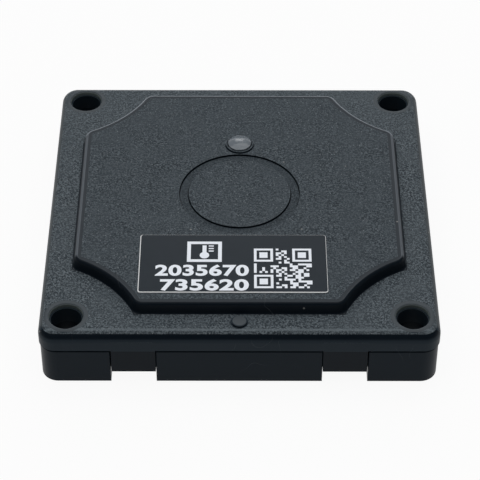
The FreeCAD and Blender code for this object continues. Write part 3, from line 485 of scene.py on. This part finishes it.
@dataclass(frozen=True)
class MouldedPlastic:
    """Black moulded plastic: textured where it lies flat, smooth on its roundings and sides."""

    name: str
    textured: Colour = (0.023, 0.031, 0.039)
    crest: Colour = (0.096, 0.117, 0.133)
    flange_crest: Colour = (0.130, 0.156, 0.174)
    # colour of the painted glints on the grain
    spark: Colour = (0.26, 0.29, 0.31)
    smooth: Colour = (0.016, 0.026, 0.036)
    # painted shade for smooth faces over the plateau, at its foot, below the cover's lower edge and in the
    # near rounding's valley
    painted_shade: Colour = (0.003, 0.007, 0.012)
    band: Colour = (0.030, 0.037, 0.045)
    soft: Colour = (0.066, 0.078, 0.088)
    # painted light: the wall under a hole's rim is painted pale
    rim: Colour = (0.15, 0.18, 0.18)
    # painted highlight along the line where the cover's near rounding starts
    brink: Colour = (0.155, 0.185, 0.205)
    brink_share: float = 0.65
    # painted highlights on roundings that face the back: on the flange's roundings, and paler on the plateau's
    # rim
    painted_side_highlight: Colour = (0.095, 0.108, 0.113)
    painted_edge_highlight: Colour = (0.225, 0.25, 0.28)
    scratched: Colour = (0.20, 0.21, 0.22)
    dusty: Colour = (0.32, 0.32, 0.31)
    textured_roughness: float = 0.40
    smooth_roughness: float = 0.40
    smudge_share: float = 0.06
    gloss: float = 0.10
    grain_size: float = 0.26
    grain_depth: float = 0.15
    ripple_grain: float = 900.0
    ripple_share: float = 0.05
    slope: float = 0.775
    dust: float = 0.6
    scratches: float = 0.5

    def material(self) -> Material:
        """Builds the material.

        Returns:
            The new material.
        """
        material, wiring, shader = new_material(self.name)
        grain = SPARK_GRAIN.put(wiring, Size=self.grain_size * MM)
        zones = FLAT_ZONES.put(wiring, Slope=self.slope)
        marks = HANDLING.put(wiring, Dust=self.dust, Scratches=self.scratches)
        zone = zones["Textured"]

        crest = wiring.mix(zones["Deep"], self.flange_crest, self.crest)
        # painted glints over the grain
        top = wiring.mix(grain["Spark"], wiring.mix(grain["Crest"], self.textured, crest), self.spark)
        # painted highlight along the start of the near rounding
        top = wiring.mix(wiring.product(zones["Brink"], self.brink_share), top, self.brink)
        # painted highlight colour for roundings that face the back
        painted_highlight = wiring.mix(zones["Edge"], self.painted_side_highlight, self.painted_edge_highlight)
        # painted shade on smooth faces where Deep is 1
        plain = wiring.mix(zones["Band"], wiring.mix(zones["Deep"], self.smooth, self.painted_shade), self.band)
        smooth = wiring.mix(zones["Soft"], wiring.mix(zones["Shade"], plain, painted_highlight), self.soft)
        # painted light on the wall under a hole's rim
        smooth = wiring.mix(zones["Rim"], smooth, self.rim)
        colour = wiring.mix(zone, smooth, top)
        colour = wiring.mix(marks["Scratches"], colour, self.scratched)
        colour = wiring.mix(marks["Dust"], colour, self.dusty)

        roughness = wiring.step(zone, 0.0, 1.0, self.smooth_roughness, self.textured_roughness)
        smudged = wiring.math("MULTIPLY_ADD", marks["Smudge"], self.smudge_share, roughness)
        wiring.feed_all(shader, {"Base Color": colour, "Roughness": smudged, "Specular IOR Level": self.gloss})
        ripple = wiring.product(wiring.noise(wiring.place(), self.ripple_grain), self.ripple_share)
        height = wiring.math("ADD", wiring.product(grain["Height"], zone), ripple)
        wiring.relief(shader, height, self.grain_depth)
        return material


@dataclass(frozen=True)
class PlainFinish:
    """A finish of one colour that varies softly, with its own gloss and fine relief."""

    name: str
    colour: Colour
    second: Colour
    roughness: float = 0.5
    metallic: float = 0.0
    gloss: float = 0.5
    grain_size: float = 0.4
    relief: float = 0.004
    pattern: Pattern = Pattern.MOTTLED
    centre: Span = (0.0, 0.0)
    mottled_detail: float = 3.0
    brush_stretch: Triple = (0.03, 1.0, 1.0)
    turning_grain: float = 900.0
    turning_share: float = 0.8
    turning_span: Span = (-1.0, 1.4)
    woven_span: Span = (-1.0, 1.0)
    varied_span: Span = (0.2, 0.8)
    roughness_swing: float = 0.04

    def variation(self, wiring: Wiring) -> Socket:
        """Builds the pattern that colour, roughness and relief follow.

        Args:
            wiring: The material's wiring.

        Returns:
            The pattern's value socket, from 0 to 1.
        """
        place = wiring.place()
        per_metre = 1.0 / (self.grain_size * MM)
        if self.pattern is Pattern.MOTTLED:
            return wiring.noise(place, per_metre, self.mottled_detail)
        if self.pattern is Pattern.BRUSHED:
            return wiring.noise(wiring.stretched(place, self.brush_stretch), per_metre)
        x, y, _ = wiring.axes(place)
        if self.pattern is Pattern.TURNED:
            distance = wiring.apart(x, y, *(part * MM for part in self.centre))
            rings = wiring.math("SINE", wiring.product(distance, per_metre * math.tau))
            uneven = wiring.noise(place, self.turning_grain)
            mixed = wiring.math("MULTIPLY_ADD", uneven, self.turning_share, rings)
            return wiring.step(mixed, *self.turning_span)
        warp, weft = (wiring.math("SINE", wiring.product(part, per_metre * math.tau)) for part in (x, y))
        return wiring.step(wiring.product(warp, weft), *self.woven_span)

    def material(self) -> Material:
        """Builds the material.

        Returns:
            The new material.
        """
        material, wiring, shader = new_material(self.name)
        share = self.variation(wiring)
        roughness = wiring.step(share, *self.varied_span, self.roughness - self.roughness_swing,
                                self.roughness + self.roughness_swing)
        wiring.feed_all(shader, {"Base Color": wiring.mix(share, self.colour, self.second),
                                 "Roughness": roughness, "Metallic": self.metallic,
                                 "Specular IOR Level": self.gloss})
        wiring.relief(shader, share, self.relief)
        return material


@dataclass(frozen=True)
class SmokyLens:
    """Clear grey plastic of the light pipe, with faint flow marks."""

    name: str = "smoky_lens"
    colour: Colour = (0.24, 0.28, 0.32)
    pale_ratio: float = 1.25
    roughness: float = 0.15
    roughness_swing: float = 0.06
    transmission: float = 0.55
    refraction: float = 1.49
    flow_grain: float = 1200.0
    flow_span: Span = (0.3, 0.7)
    relief: float = 0.002

    def material(self) -> Material:
        """Builds the material.

        Returns:
            The new material.
        """
        material, wiring, shader = new_material(self.name)
        flow = wiring.noise(wiring.place(), self.flow_grain)
        pale = tuple(self.pale_ratio * part for part in self.colour)
        roughness = wiring.step(flow, *self.flow_span, self.roughness, self.roughness + self.roughness_swing)
        wiring.feed_all(shader, {"Base Color": wiring.mix(flow, self.colour, pale), "Roughness": roughness,
                                 "Transmission Weight": self.transmission, "IOR": self.refraction})
        wiring.relief(shader, flow, self.relief)
        return material


def start_fresh() -> None:
    """Leaves edit mode and deselects everything."""
    if bpy.context.object and bpy.context.object.mode != "OBJECT":
        bpy.ops.object.mode_set(mode="OBJECT")
    bpy.ops.object.select_all(action="DESELECT")


def only(piece: Piece) -> None:
    """Selects one object and makes it active.

    Args:
        piece: The object.
    """
    start_fresh()
    piece.select_set(True)
    bpy.context.view_layer.objects.active = piece


def bake_place(piece: Piece) -> None:
    """Writes the object's place, turn and scale into its mesh."""
    only(piece)
    bpy.ops.object.transform_apply(location=True, rotation=True, scale=True)


def join_all(pieces: list[Piece], name: str) -> Piece:
    """Joins meshes into one piece.

    Args:
        pieces: The meshes. The first one keeps the result.
        name: The piece's name.

    Returns:
        The joined piece.
    """
    start_fresh()
    for piece in pieces:
        piece.select_set(True)
    bpy.context.view_layer.objects.active = pieces[0]
    bpy.ops.object.join()
    joined = bpy.context.object
    joined.name = name
    return joined


def delete_faces(piece: Piece, chosen: Callable[[bpy.types.MeshPolygon], bool]) -> None:
    """Deletes faces by a test, and leaves the object in edit mode with the rest selected.

    Args:
        piece: The object.
        chosen: Says whether a face is deleted.
    """
    only(piece)
    bpy.ops.object.mode_set(mode="EDIT")
    bpy.ops.mesh.select_mode(type="FACE")
    bpy.ops.mesh.select_all(action="DESELECT")
    bpy.ops.object.mode_set(mode="OBJECT")
    for face in piece.data.polygons:
        face.select = chosen(face)
    bpy.ops.object.mode_set(mode="EDIT")
    bpy.ops.mesh.delete(type="FACE")
    bpy.ops.mesh.select_all(action="SELECT")


def thicken(piece: Piece, thickness: float) -> None:
    """Raises a flat sheet into a closed plate.

    Args:
        piece: The sheet, lying flat.
        thickness: The plate's thickness in metres.
    """
    add_wall(piece, thickness, 1.0)
    bpy.ops.object.mode_set(mode="EDIT")
    bpy.ops.mesh.select_all(action="SELECT")
    bpy.ops.mesh.remove_doubles(threshold=WELD * MM)
    bpy.ops.mesh.normals_make_consistent(inside=False)
    bpy.ops.object.mode_set(mode="OBJECT")


def add_wall(piece: Piece, thickness: float, side: float) -> None:
    """Gives a sheet its thickness with a modifier.

    Args:
        piece: The sheet.
        thickness: The wall's thickness in metres.
        side: 1 where the wall grows outwards, -1 where it grows inwards.
    """
    only(piece)
    wall = piece.modifiers.new("wall", "SOLIDIFY")
    wall.thickness = thickness
    wall.offset = side
    bpy.ops.object.modifier_apply(modifier=wall.name)


def settle(piece: Piece, body: Body, material: Material) -> None:
    """Dresses a new piece and lets it ride on its body.

    Args:
        piece: The piece, in place.
        body: What it moves with.
        material: Its finish.
    """
    piece.data.materials.clear()
    piece.data.materials.append(material)
    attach(piece, body.value)
    LOG.info("made %s with %d faces", piece.name, len(piece.data.polygons))


def dress(nodes: list[str], material: Material) -> None:
    """Gives CAD nodes a finish.

    Args:
        nodes: The nodes' names.
        material: Their finish.
    """
    for name in nodes:
        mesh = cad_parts[name].data
        mesh.materials.clear()
        mesh.materials.append(material)
        LOG.info("dressed %s in %s", name, material.name)


@dataclass
class Casing:
    """The two shells, the gasket between them and the recessed ring."""

    cover: MouldedPlastic = MouldedPlastic("cover_plastic")
    # the base's painted shade is a little bluer
    base: MouldedPlastic = MouldedPlastic("base_plastic", painted_shade=(0.003, 0.0095, 0.0165),
                                          smooth_roughness=0.35, slope=2.0, dust=0.3, scratches=0.3)
    ring: MouldedPlastic = MouldedPlastic("ring_elastomer", textured=(0.020, 0.027, 0.034),
                                          crest=(0.062, 0.079, 0.092), spark=(0.12, 0.14, 0.15))
    rubber: PlainFinish = PlainFinish("gasket_rubber", (0.012, 0.012, 0.013), (0.020, 0.020, 0.022), 0.72)

    def build(self) -> None:
        """Dresses the shells, the ring and the gasket. The base has no texture."""
        dress(["top_cover"], self.cover.material())
        dress(["base_shell"], self.base.material())
        dress(["flex_ring"], self.ring.material())
        dress(["seal_gasket"], self.rubber.material())


@dataclass
class Button:
    """The disc that a finger presses."""

    finish: MouldedPlastic = MouldedPlastic("disc_plastic", dust=0.8)

    def build(self) -> None:
        """Dresses the disc."""
        dress(["press_disc"], self.finish.material())


@dataclass
class StatusLight:
    """The domed lens and the lamp under it."""

    lens: SmokyLens = SmokyLens()
    lamp: PlainFinish = PlainFinish("led_resin", (0.75, 0.72, 0.55), (0.85, 0.83, 0.70), 0.35)

    def build(self) -> None:
        """Dresses the lens and the lamp."""
        dress(["status_lens"], self.lens.material())
        dress(["status_led"], self.lamp.material())


@dataclass
class PrintRow:
    """A row of figures on the label, by the box that it fills."""

    figures: str
    left: float
    right: float
    top: float
    bottom: float


@dataclass
class IdLabel:
    """White tape under a black film, with figures, a code block and a thermometer sign in white."""

    margin_left: float = 0.13
    margin_right: float = 0.06
    margin_front: float = 0.17
    margin_back: float = 0.04
    corner: float = 0.35
    corner_steps: int = 6
    film_thickness: float = 0.02
    film_top: float = field(init=False, default=0.0)
    ink_thickness: float = 0.012
    rows: list[PrintRow] = field(default_factory=lambda: [
        PrintRow("2035670", -12.35, 1.38, -16.26, -18.72),
        PrintRow("735620", -11.55, 1.37, -19.33, -21.83),
    ])
    boldness: float = 0.035
    letter_space: float = 1.04
    curve_steps: int = 6
    code_left: float = 2.13
    code_back: float = -12.78
    code_modules: int = 21
    code_module: float = 0.404
    code_gap: float = 0.006
    code_weights: tuple[int, int, int] = (3, 5, 7)
    code_run: int = 3
    code_cycle: int = 9
    code_light: tuple[int, ...] = (0, 2, 5, 7)
    finder: int = 7
    sign_left: float = -7.73
    sign_right: float = -2.60
    sign_back: float = -11.25
    sign_front: float = -15.68
    sign_line: float = 0.55
    bulb_radius: float = 0.70
    bulb_rise: float = 1.45
    bulb_points: int = 48
    bulb_ratio: float = 1.02
    stem_half: float = 0.30
    stem_top: float = 0.85
    scale_marks: int = 3
    mark_left: float = 0.62
    mark_length: float = 0.75
    mark_width: float = 0.24
    mark_pitch: float = 0.55
    tape: PlainFinish = PlainFinish("label_tape", (0.70, 0.71, 0.72), (0.78, 0.79, 0.80), 0.45)
    film: PlainFinish = PlainFinish("label_film", (0.009, 0.0155, 0.023), (0.012, 0.020, 0.029), 0.33,
                                    gloss=0.135, grain_size=1.2, relief=0.002)
    ink: PlainFinish = PlainFinish("label_ink", (0.84, 0.89, 0.97), (0.90, 0.94, 1.0))

    def build(self) -> None:
        """Builds the film and its print."""
        dress(["id_label"], self.tape.material())
        low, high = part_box("id_label")
        self.film_top = high.z + self.film_thickness * MM
        film = self.make_film(low, high)
        settle(film, Body.HOUSING, self.film.material())
        ink = self.ink.material()
        prints = [self.make_row(row, f"label_figures_{number}") for number, row in enumerate(self.rows, 1)]
        for printed in (*prints, self.make_code(), self.make_sign()):
            settle(printed, Body.HOUSING, ink)

    def make_film(self, low: Vector, high: Vector) -> Piece:
        """Makes the black film, a little smaller than the tape.

        Args:
            low: The tape's lowest corner.
            high: The tape's highest corner.

        Returns:
            The film.
        """
        left = low.x + self.margin_left * MM
        right = high.x - self.margin_right * MM
        front = low.y + self.margin_front * MM
        back = high.y - self.margin_back * MM
        film = self.sheet(left, right, front, back, high.z)
        film.name = "label_film"
        bpy.ops.object.mode_set(mode="EDIT")
        bpy.ops.mesh.select_all(action="SELECT")
        bpy.ops.mesh.bevel(offset=self.corner * MM, segments=self.corner_steps, affect="VERTICES")
        thicken(film, self.film_thickness * MM)
        return film

    def sheet(self, left: float, right: float, front: float, back: float, height: float) -> Piece:
        """Adds a flat rectangle, by its sides in metres.

        Args:
            left: Its lowest x.
            right: Its highest x.
            front: Its lowest y.
            back: Its highest y.
            height: Its z.

        Returns:
            The rectangle.
        """
        start_fresh()
        bpy.ops.mesh.primitive_plane_add(size=1.0, location=((left + right) / 2, (front + back) / 2, height))
        piece = bpy.context.object
        piece.scale = (right - left, back - front, 1.0)
        bake_place(piece)
        return piece

    def plate(self, left: float, right: float, front: float, back: float) -> Piece:
        """Adds a printed rectangle on the film.

        Args:
            left: Its lowest x.
            right: Its highest x.
            front: Its lowest y.
            back: Its highest y.

        Returns:
            The rectangle.
        """
        piece = self.sheet(*(side * MM for side in (left, right, front, back)), self.film_top)
        thicken(piece, self.ink_thickness * MM)
        return piece

    def make_row(self, row: PrintRow, name: str) -> Piece:
        """Makes a row of figures that fills its box.

        Args:
            row: The figures and their box.
            name: The piece's name.

        Returns:
            The row.
        """
        start_fresh()
        bpy.ops.object.text_add(location=(0, 0, 0))
        text = bpy.context.object
        text.data.body = row.figures
        text.data.offset = self.boldness
        text.data.space_character = self.letter_space
        text.data.resolution_u = self.curve_steps
        bpy.ops.object.convert(target="MESH")
        bpy.ops.object.shade_flat()
        piece = bpy.context.object
        piece.name = name
        across = [v.co.x for v in piece.data.vertices]
        along = [v.co.y for v in piece.data.vertices]
        scale_x = (row.right - row.left) * MM / (max(across) - min(across))
        scale_y = (row.top - row.bottom) * MM / (max(along) - min(along))
        piece.scale = (scale_x, scale_y, 1.0)
        piece.location = (row.left * MM - min(across) * scale_x, row.bottom * MM - min(along) * scale_y,
                          self.film_top)
        bake_place(piece)
        thicken(piece, self.ink_thickness * MM)
        return piece

    def is_light(self, column: int, row: int) -> bool:
        """Says whether a module of the code block is printed white.

        Args:
            column: The module's column, from the left.
            row: The module's row, from the back.

        Returns:
            True where the module is white.
        """
        last = self.code_modules - 1
        half = self.finder // 2
        for corner_column, corner_row in ((0, 0), (last, 0), (0, last)):
            ring = max(abs(column - abs(corner_column - half)), abs(row - abs(corner_row - half)))
            if ring <= half + 1:
                return ring in (0, 1, half)
        products = (column * column, row * row, column * row)
        weighed = sum(weight * product for weight, product in zip(self.code_weights, products))
        return (weighed + column // self.code_run) % self.code_cycle in self.code_light

    def make_code(self) -> Piece:
        """Makes the code block from a grid whose dark modules are taken out.

        The block's outline is drawn in by a hair, so that modules don't meet at their corners.

        Returns:
            The code block.
        """
        side = self.code_modules * self.code_module
        middle = ((self.code_left + side / 2) * MM, (self.code_back - side / 2) * MM, self.film_top)
        start_fresh()
        bpy.ops.mesh.primitive_grid_add(x_subdivisions=self.code_modules, y_subdivisions=self.code_modules,
                                        size=side * MM, location=middle)
        code = bpy.context.object
        code.name = "label_code"
        bake_place(code)

        def is_dark(face: bpy.types.MeshPolygon) -> bool:
            """Says whether a face lies on a module that isn't printed."""
            column = int((face.center.x / MM - self.code_left) / self.code_module)
            row = int((self.code_back - face.center.y / MM) / self.code_module)
            return not self.is_light(column, row)

        delete_faces(code, is_dark)
        bpy.ops.mesh.inset(thickness=self.code_gap / 2 * MM, depth=0.0)
        bpy.ops.mesh.select_all(action="INVERT")
        bpy.ops.mesh.delete(type="FACE")
        thicken(code, self.ink_thickness * MM)
        return code

    def make_border(self) -> Piece:
        """Makes the sign's square frame.

        Returns:
            The frame.
        """
        sides = (self.sign_left, self.sign_right, self.sign_front, self.sign_back)
        border = self.sheet(*(side * MM for side in sides), self.film_top)
        bpy.ops.object.mode_set(mode="EDIT")
        bpy.ops.mesh.select_mode(type="FACE")
        bpy.ops.mesh.select_all(action="SELECT")
        bpy.ops.mesh.inset(thickness=self.sign_line * MM, depth=0.0)
        bpy.ops.mesh.delete(type="FACE")
        thicken(border, self.ink_thickness * MM)
        return border

    def make_sign(self) -> Piece:
        """Makes the sign: a thermometer in a square frame.

        Returns:
            The sign.
        """
        border = self.make_border()
        centre_x = (self.sign_left + self.sign_right) / 2
        bulb_y = self.sign_front + self.bulb_rise
        top_y = self.sign_back - self.stem_top
        stem = self.plate(centre_x - self.stem_half, centre_x + self.stem_half, bulb_y, top_y)
        marks = []
        for number in range(self.scale_marks):
            mark_back = top_y - number * self.mark_pitch
            left = centre_x + self.mark_left
            marks.append(self.plate(left, left + self.mark_length, mark_back - self.mark_width, mark_back))
        start_fresh()
        bpy.ops.mesh.primitive_circle_add(vertices=self.bulb_points, radius=self.bulb_radius * MM,
                                          fill_type="NGON",
                                          location=(centre_x * MM, bulb_y * MM, self.film_top))
        bulb = bpy.context.object
        bake_place(bulb)
        thicken(bulb, self.ink_thickness * MM * self.bulb_ratio)
        return join_all([border, stem, bulb, *marks], "label_sign")


@dataclass
class Electronics:
    """The board with its parts, and the switch."""

    parts: list[tuple[PlainFinish, list[str]]] = field(default_factory=lambda: [
        (PlainFinish("board_laminate", (0.010, 0.055, 0.022), (0.014, 0.075, 0.030), 0.32,
                     grain_size=0.5, relief=0.01, pattern=Pattern.WOVEN), ["circuit_board"]),
        (PlainFinish("screw_steel", (0.45, 0.45, 0.46), (0.60, 0.60, 0.61), 0.28, 1.0, grain_size=0.2),
         ["board_screws"]),
        (PlainFinish("switch_plastic", (0.018, 0.018, 0.020), (0.030, 0.030, 0.032), 0.55),
         ["switch_base"]),
        (PlainFinish("plunger_plastic", (0.55, 0.42, 0.20), (0.65, 0.50, 0.26), 0.45),
         ["switch_plunger"]),
        (PlainFinish("shield_tin", (0.60, 0.61, 0.62), (0.72, 0.73, 0.74), 0.30, 1.0,
                     grain_size=0.15, pattern=Pattern.BRUSHED), ["radio_shield"]),
        (PlainFinish("chip_epoxy", (0.020, 0.020, 0.021), (0.034, 0.034, 0.035), 0.62,
                     grain_size=0.08, relief=0.01), ["radio_chip", "temperature_chip"]),
        (PlainFinish("crystal_metal", (0.66, 0.64, 0.58), (0.76, 0.74, 0.68), 0.24, 1.0),
         ["radio_crystal", "clock_crystal"]),
        (PlainFinish("antenna_ceramic", (0.60, 0.62, 0.60), (0.72, 0.74, 0.72)), ["chip_antenna"]),
        (PlainFinish("tantalum_resin", (0.60, 0.30, 0.03), (0.70, 0.38, 0.06)),
         ["reservoir_capacitor"]),
        (PlainFinish("capacitor_ceramic", (0.35, 0.24, 0.13), (0.45, 0.32, 0.19)),
         ["chip_capacitors"]),
        (PlainFinish("resistor_ceramic", (0.03, 0.03, 0.035), (0.05, 0.05, 0.055), 0.4),
         ["chip_resistors"]),
        (PlainFinish("gold_plate", (0.83, 0.58, 0.20), (0.90, 0.66, 0.28), 0.3, 1.0), ["test_pads"]),
        (PlainFinish("thermal_gel", (0.42, 0.45, 0.50), (0.52, 0.55, 0.60), 0.7), ["thermal_pad"]),
    ])
    steel: PlainFinish = PlainFinish("switch_steel", (0.55, 0.55, 0.56), (0.68, 0.68, 0.69), 0.25, 1.0,
                                     grain_size=0.1, pattern=Pattern.BRUSHED)
    dome_segments: int = 64
    dome_rings: int = 80
    dome_sheet: float = 0.06
    dome_travel: float = 0.25

    def build(self) -> None:
        """Dresses the board, its parts and the switch, and adds the switch's dome."""
        for finish, nodes in self.parts:
            dress(nodes, finish.material())
        steel = self.steel.material()
        dress(["switch_frame", "switch_dome", "switch_terminals"], steel)
        self.make_dome(steel)

    def make_dome(self, material: Material) -> None:
        """Makes the switch's snap dome, a thin cap of a ball.

        Args:
            material: Its finish.
        """
        low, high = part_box("switch_dome")
        rise = high.z - low.z
        radius = (high.x - low.x) / 2
        ball = (radius * radius + rise * rise) / (2 * rise)
        start_fresh()
        bpy.ops.mesh.primitive_uv_sphere_add(segments=self.dome_segments, ring_count=self.dome_rings,
                                             radius=ball, location=(0, 0, high.z - ball))
        dome = bpy.context.object
        dome.name = "snap_dome"
        bake_place(dome)
        delete_faces(dome, lambda face: face.center.z < low.z)
        add_wall(dome, self.dome_sheet * MM, -1.0)
        settle(dome, Body.HOUSING, material)
        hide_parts("switch_dome")
        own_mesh(dome)


@dataclass
class CoinCell:
    """The cell, its clip and its contact."""

    steel: PlainFinish = PlainFinish("cell_steel", (0.62, 0.62, 0.62), (0.74, 0.74, 0.74), 0.26, 1.0,
                                     grain_size=0.12, pattern=Pattern.TURNED, centre=(0.0, -2.0))
    nylon: PlainFinish = PlainFinish("nylon", (0.62, 0.60, 0.52), (0.70, 0.68, 0.60))
    fill: PlainFinish = PlainFinish("cell_fill", (0.05, 0.05, 0.055), (0.09, 0.09, 0.095), 0.8)
    spring: PlainFinish = PlainFinish("spring_steel", (0.58, 0.56, 0.50), (0.70, 0.68, 0.62), 0.28, 1.0,
                                      grain_size=0.12, pattern=Pattern.BRUSHED)

    def build(self) -> None:
        """Dresses the cell and what holds it."""
        dress(["coin_cell_can", "coin_cell_cap"], self.steel.material())
        dress(["coin_cell_seal"], self.nylon.material())
        dress(["coin_cell_core"], self.fill.material())
        dress(["cell_clip", "negative_contact"], self.spring.material())


@dataclass
class SoftBox:
    """A large lamp, by where it stands and how bright its face is."""

    name: str
    place: Triple
    size: Span
    radiance: float

    def power(self) -> float:
        """Works out the lamp's power in watts from the brightness of its face."""
        return self.radiance * math.pi * self.size[0] * MM * self.size[1] * MM


@dataclass
class Studio:
    """Pale floor, soft lamps, dim surround and the camera at the photograph's angle.

    The camera's values come from the four mounting holes and the case's corners, in a picture of
    480 by 480 pixels. Its angles are degrees.
    """

    image_side: float = 480.0
    focal_pixels: float = 1954.4
    sensor: float = 36.0
    near_clip: float = 10.0
    target: Triple = (0.08, -8.74, 9.6)
    distance: float = 293.6
    elevation: float = 42.20
    azimuth: float = -0.02
    roll: float = 0.09
    floor_side: float = 6000.0
    floor_drop: float = 0.02
    floor_tones: tuple[Colour, Colour] = ((0.80, 0.80, 0.80), (0.84, 0.84, 0.84))
    floor_grain: float = 3.0
    floor_roughness: float = 0.9
    floor_gloss: float = 0.1
    floor_glow: float = 0.93
    surround: float = 0.10
    lamps: list[SoftBox] = field(default_factory=lambda: [
        SoftBox("overhead_softbox", (-30.0, 80.0, 720.0), (1100.0, 800.0), 1.75),
        SoftBox("backdrop_light", (0.0, 900.0, 800.0), (2000.0, 900.0), 0.30),
        SoftBox("low_strip", (0.0, 1000.0, 430.0), (2000.0, 160.0), 1.0),
        SoftBox("window_light", (-20.0, 850.0, 560.0), (340.0, 270.0), 2.8),
    ])

    def build(self) -> None:
        """Sets up the floor, the lamps, the surround and the camera."""
        self.make_floor()
        for lamp in self.lamps:
            self.make_lamp(lamp)
        self.make_surround()
        self.make_camera()
        bpy.context.scene.view_settings.view_transform = "Standard"

    def make_floor(self) -> None:
        """Lays the floor under the mounting face. It glows towards the camera and in reflections."""
        start_fresh()
        bpy.ops.mesh.primitive_plane_add(size=self.floor_side * MM, location=(0, 0, -self.floor_drop * MM))
        floor = bpy.context.object
        floor.name = "studio_floor"
        material, wiring, shader = new_material("studio_floor")
        shade = wiring.noise(wiring.place(), self.floor_grain)
        wiring.feed_all(shader, {"Base Color": wiring.mix(shade, *self.floor_tones),
                                 "Roughness": self.floor_roughness, "Specular IOR Level": self.floor_gloss})
        glow = wiring.node("ShaderNodeEmission")
        path = wiring.node("ShaderNodeLightPath")
        seen = wiring.math("MAXIMUM", path.outputs["Is Camera Ray"], path.outputs["Is Glossy Ray"])
        seen = wiring.math("MAXIMUM", seen, path.outputs["Is Transmission Ray"])
        blend = wiring.node("ShaderNodeMixShader")
        wiring.feed(blend.inputs[0], wiring.product(seen, self.floor_glow))
        wiring.feed(blend.inputs[1], shader.outputs[0])
        wiring.feed(blend.inputs[2], glow.outputs[0])
        output = next(n for n in material.node_tree.nodes if n.type == "OUTPUT_MATERIAL")
        wiring.feed(output.inputs["Surface"], blend.outputs[0])
        floor.data.materials.append(material)

    def make_lamp(self, lamp: SoftBox) -> None:
        """Hangs one softbox, turned to the case.

        Args:
            lamp: Its place, size and brightness.
        """
        light = bpy.data.lights.new(lamp.name, "AREA")
        light.shape = "RECTANGLE"
        light.size, light.size_y = (side * MM for side in lamp.size)
        light.energy = lamp.power()
        holder = bpy.data.objects.new(lamp.name, light)
        bpy.context.scene.collection.objects.link(holder)
        holder.location = Vector(lamp.place) * MM
        aim = Vector(self.target) * MM - holder.location
        holder.rotation_euler = aim.to_track_quat("-Z", "Y").to_euler()

    def make_surround(self) -> None:
        """Fills the room with dim even light."""
        world = bpy.data.worlds.new("surround")
        world.use_nodes = True
        background = next(n for n in world.node_tree.nodes if n.type == "BACKGROUND")
        background.inputs["Color"].default_value = (self.surround, self.surround, self.surround, 1.0)
        bpy.context.scene.world = world

    def make_camera(self) -> None:
        """Places the camera at its distance from the target, turned by its three angles."""
        rise, turn, roll = (math.radians(a) for a in (self.elevation, self.azimuth, self.roll))
        back = Vector((math.sin(turn) * math.cos(rise), -math.cos(turn) * math.cos(rise), math.sin(rise)))
        right = Vector((0, 0, 1)).cross(back).normalized()
        up = back.cross(right)
        rolled_right = right * math.cos(roll) + up * math.sin(roll)
        rolled_up = up * math.cos(roll) - right * math.sin(roll)
        lens = bpy.data.cameras.new("photo_camera")
        lens.sensor_width = self.sensor
        lens.lens = self.focal_pixels / self.image_side * self.sensor
        lens.clip_start = self.near_clip * MM
        camera = bpy.data.objects.new("photo_camera", lens)
        bpy.context.scene.collection.objects.link(camera)
        turned = Matrix((rolled_right, rolled_up, back)).transposed().to_4x4()
        camera.matrix_world = Matrix.Translation((Vector(self.target) + back * self.distance) * MM) @ turned
        bpy.context.scene.camera = camera


def main() -> None:
    """Builds the studio and dresses each sub-assembly in order."""
    logging.basicConfig(level=logging.INFO, format="%(message)s")
    for section in (Studio(), Casing(), Button(), StatusLight(), IdLabel(), Electronics(), CoinCell()):
        section.build()
        LOG.info("finished %s", type(section).__name__)


if __name__ == "__main__":
    main()
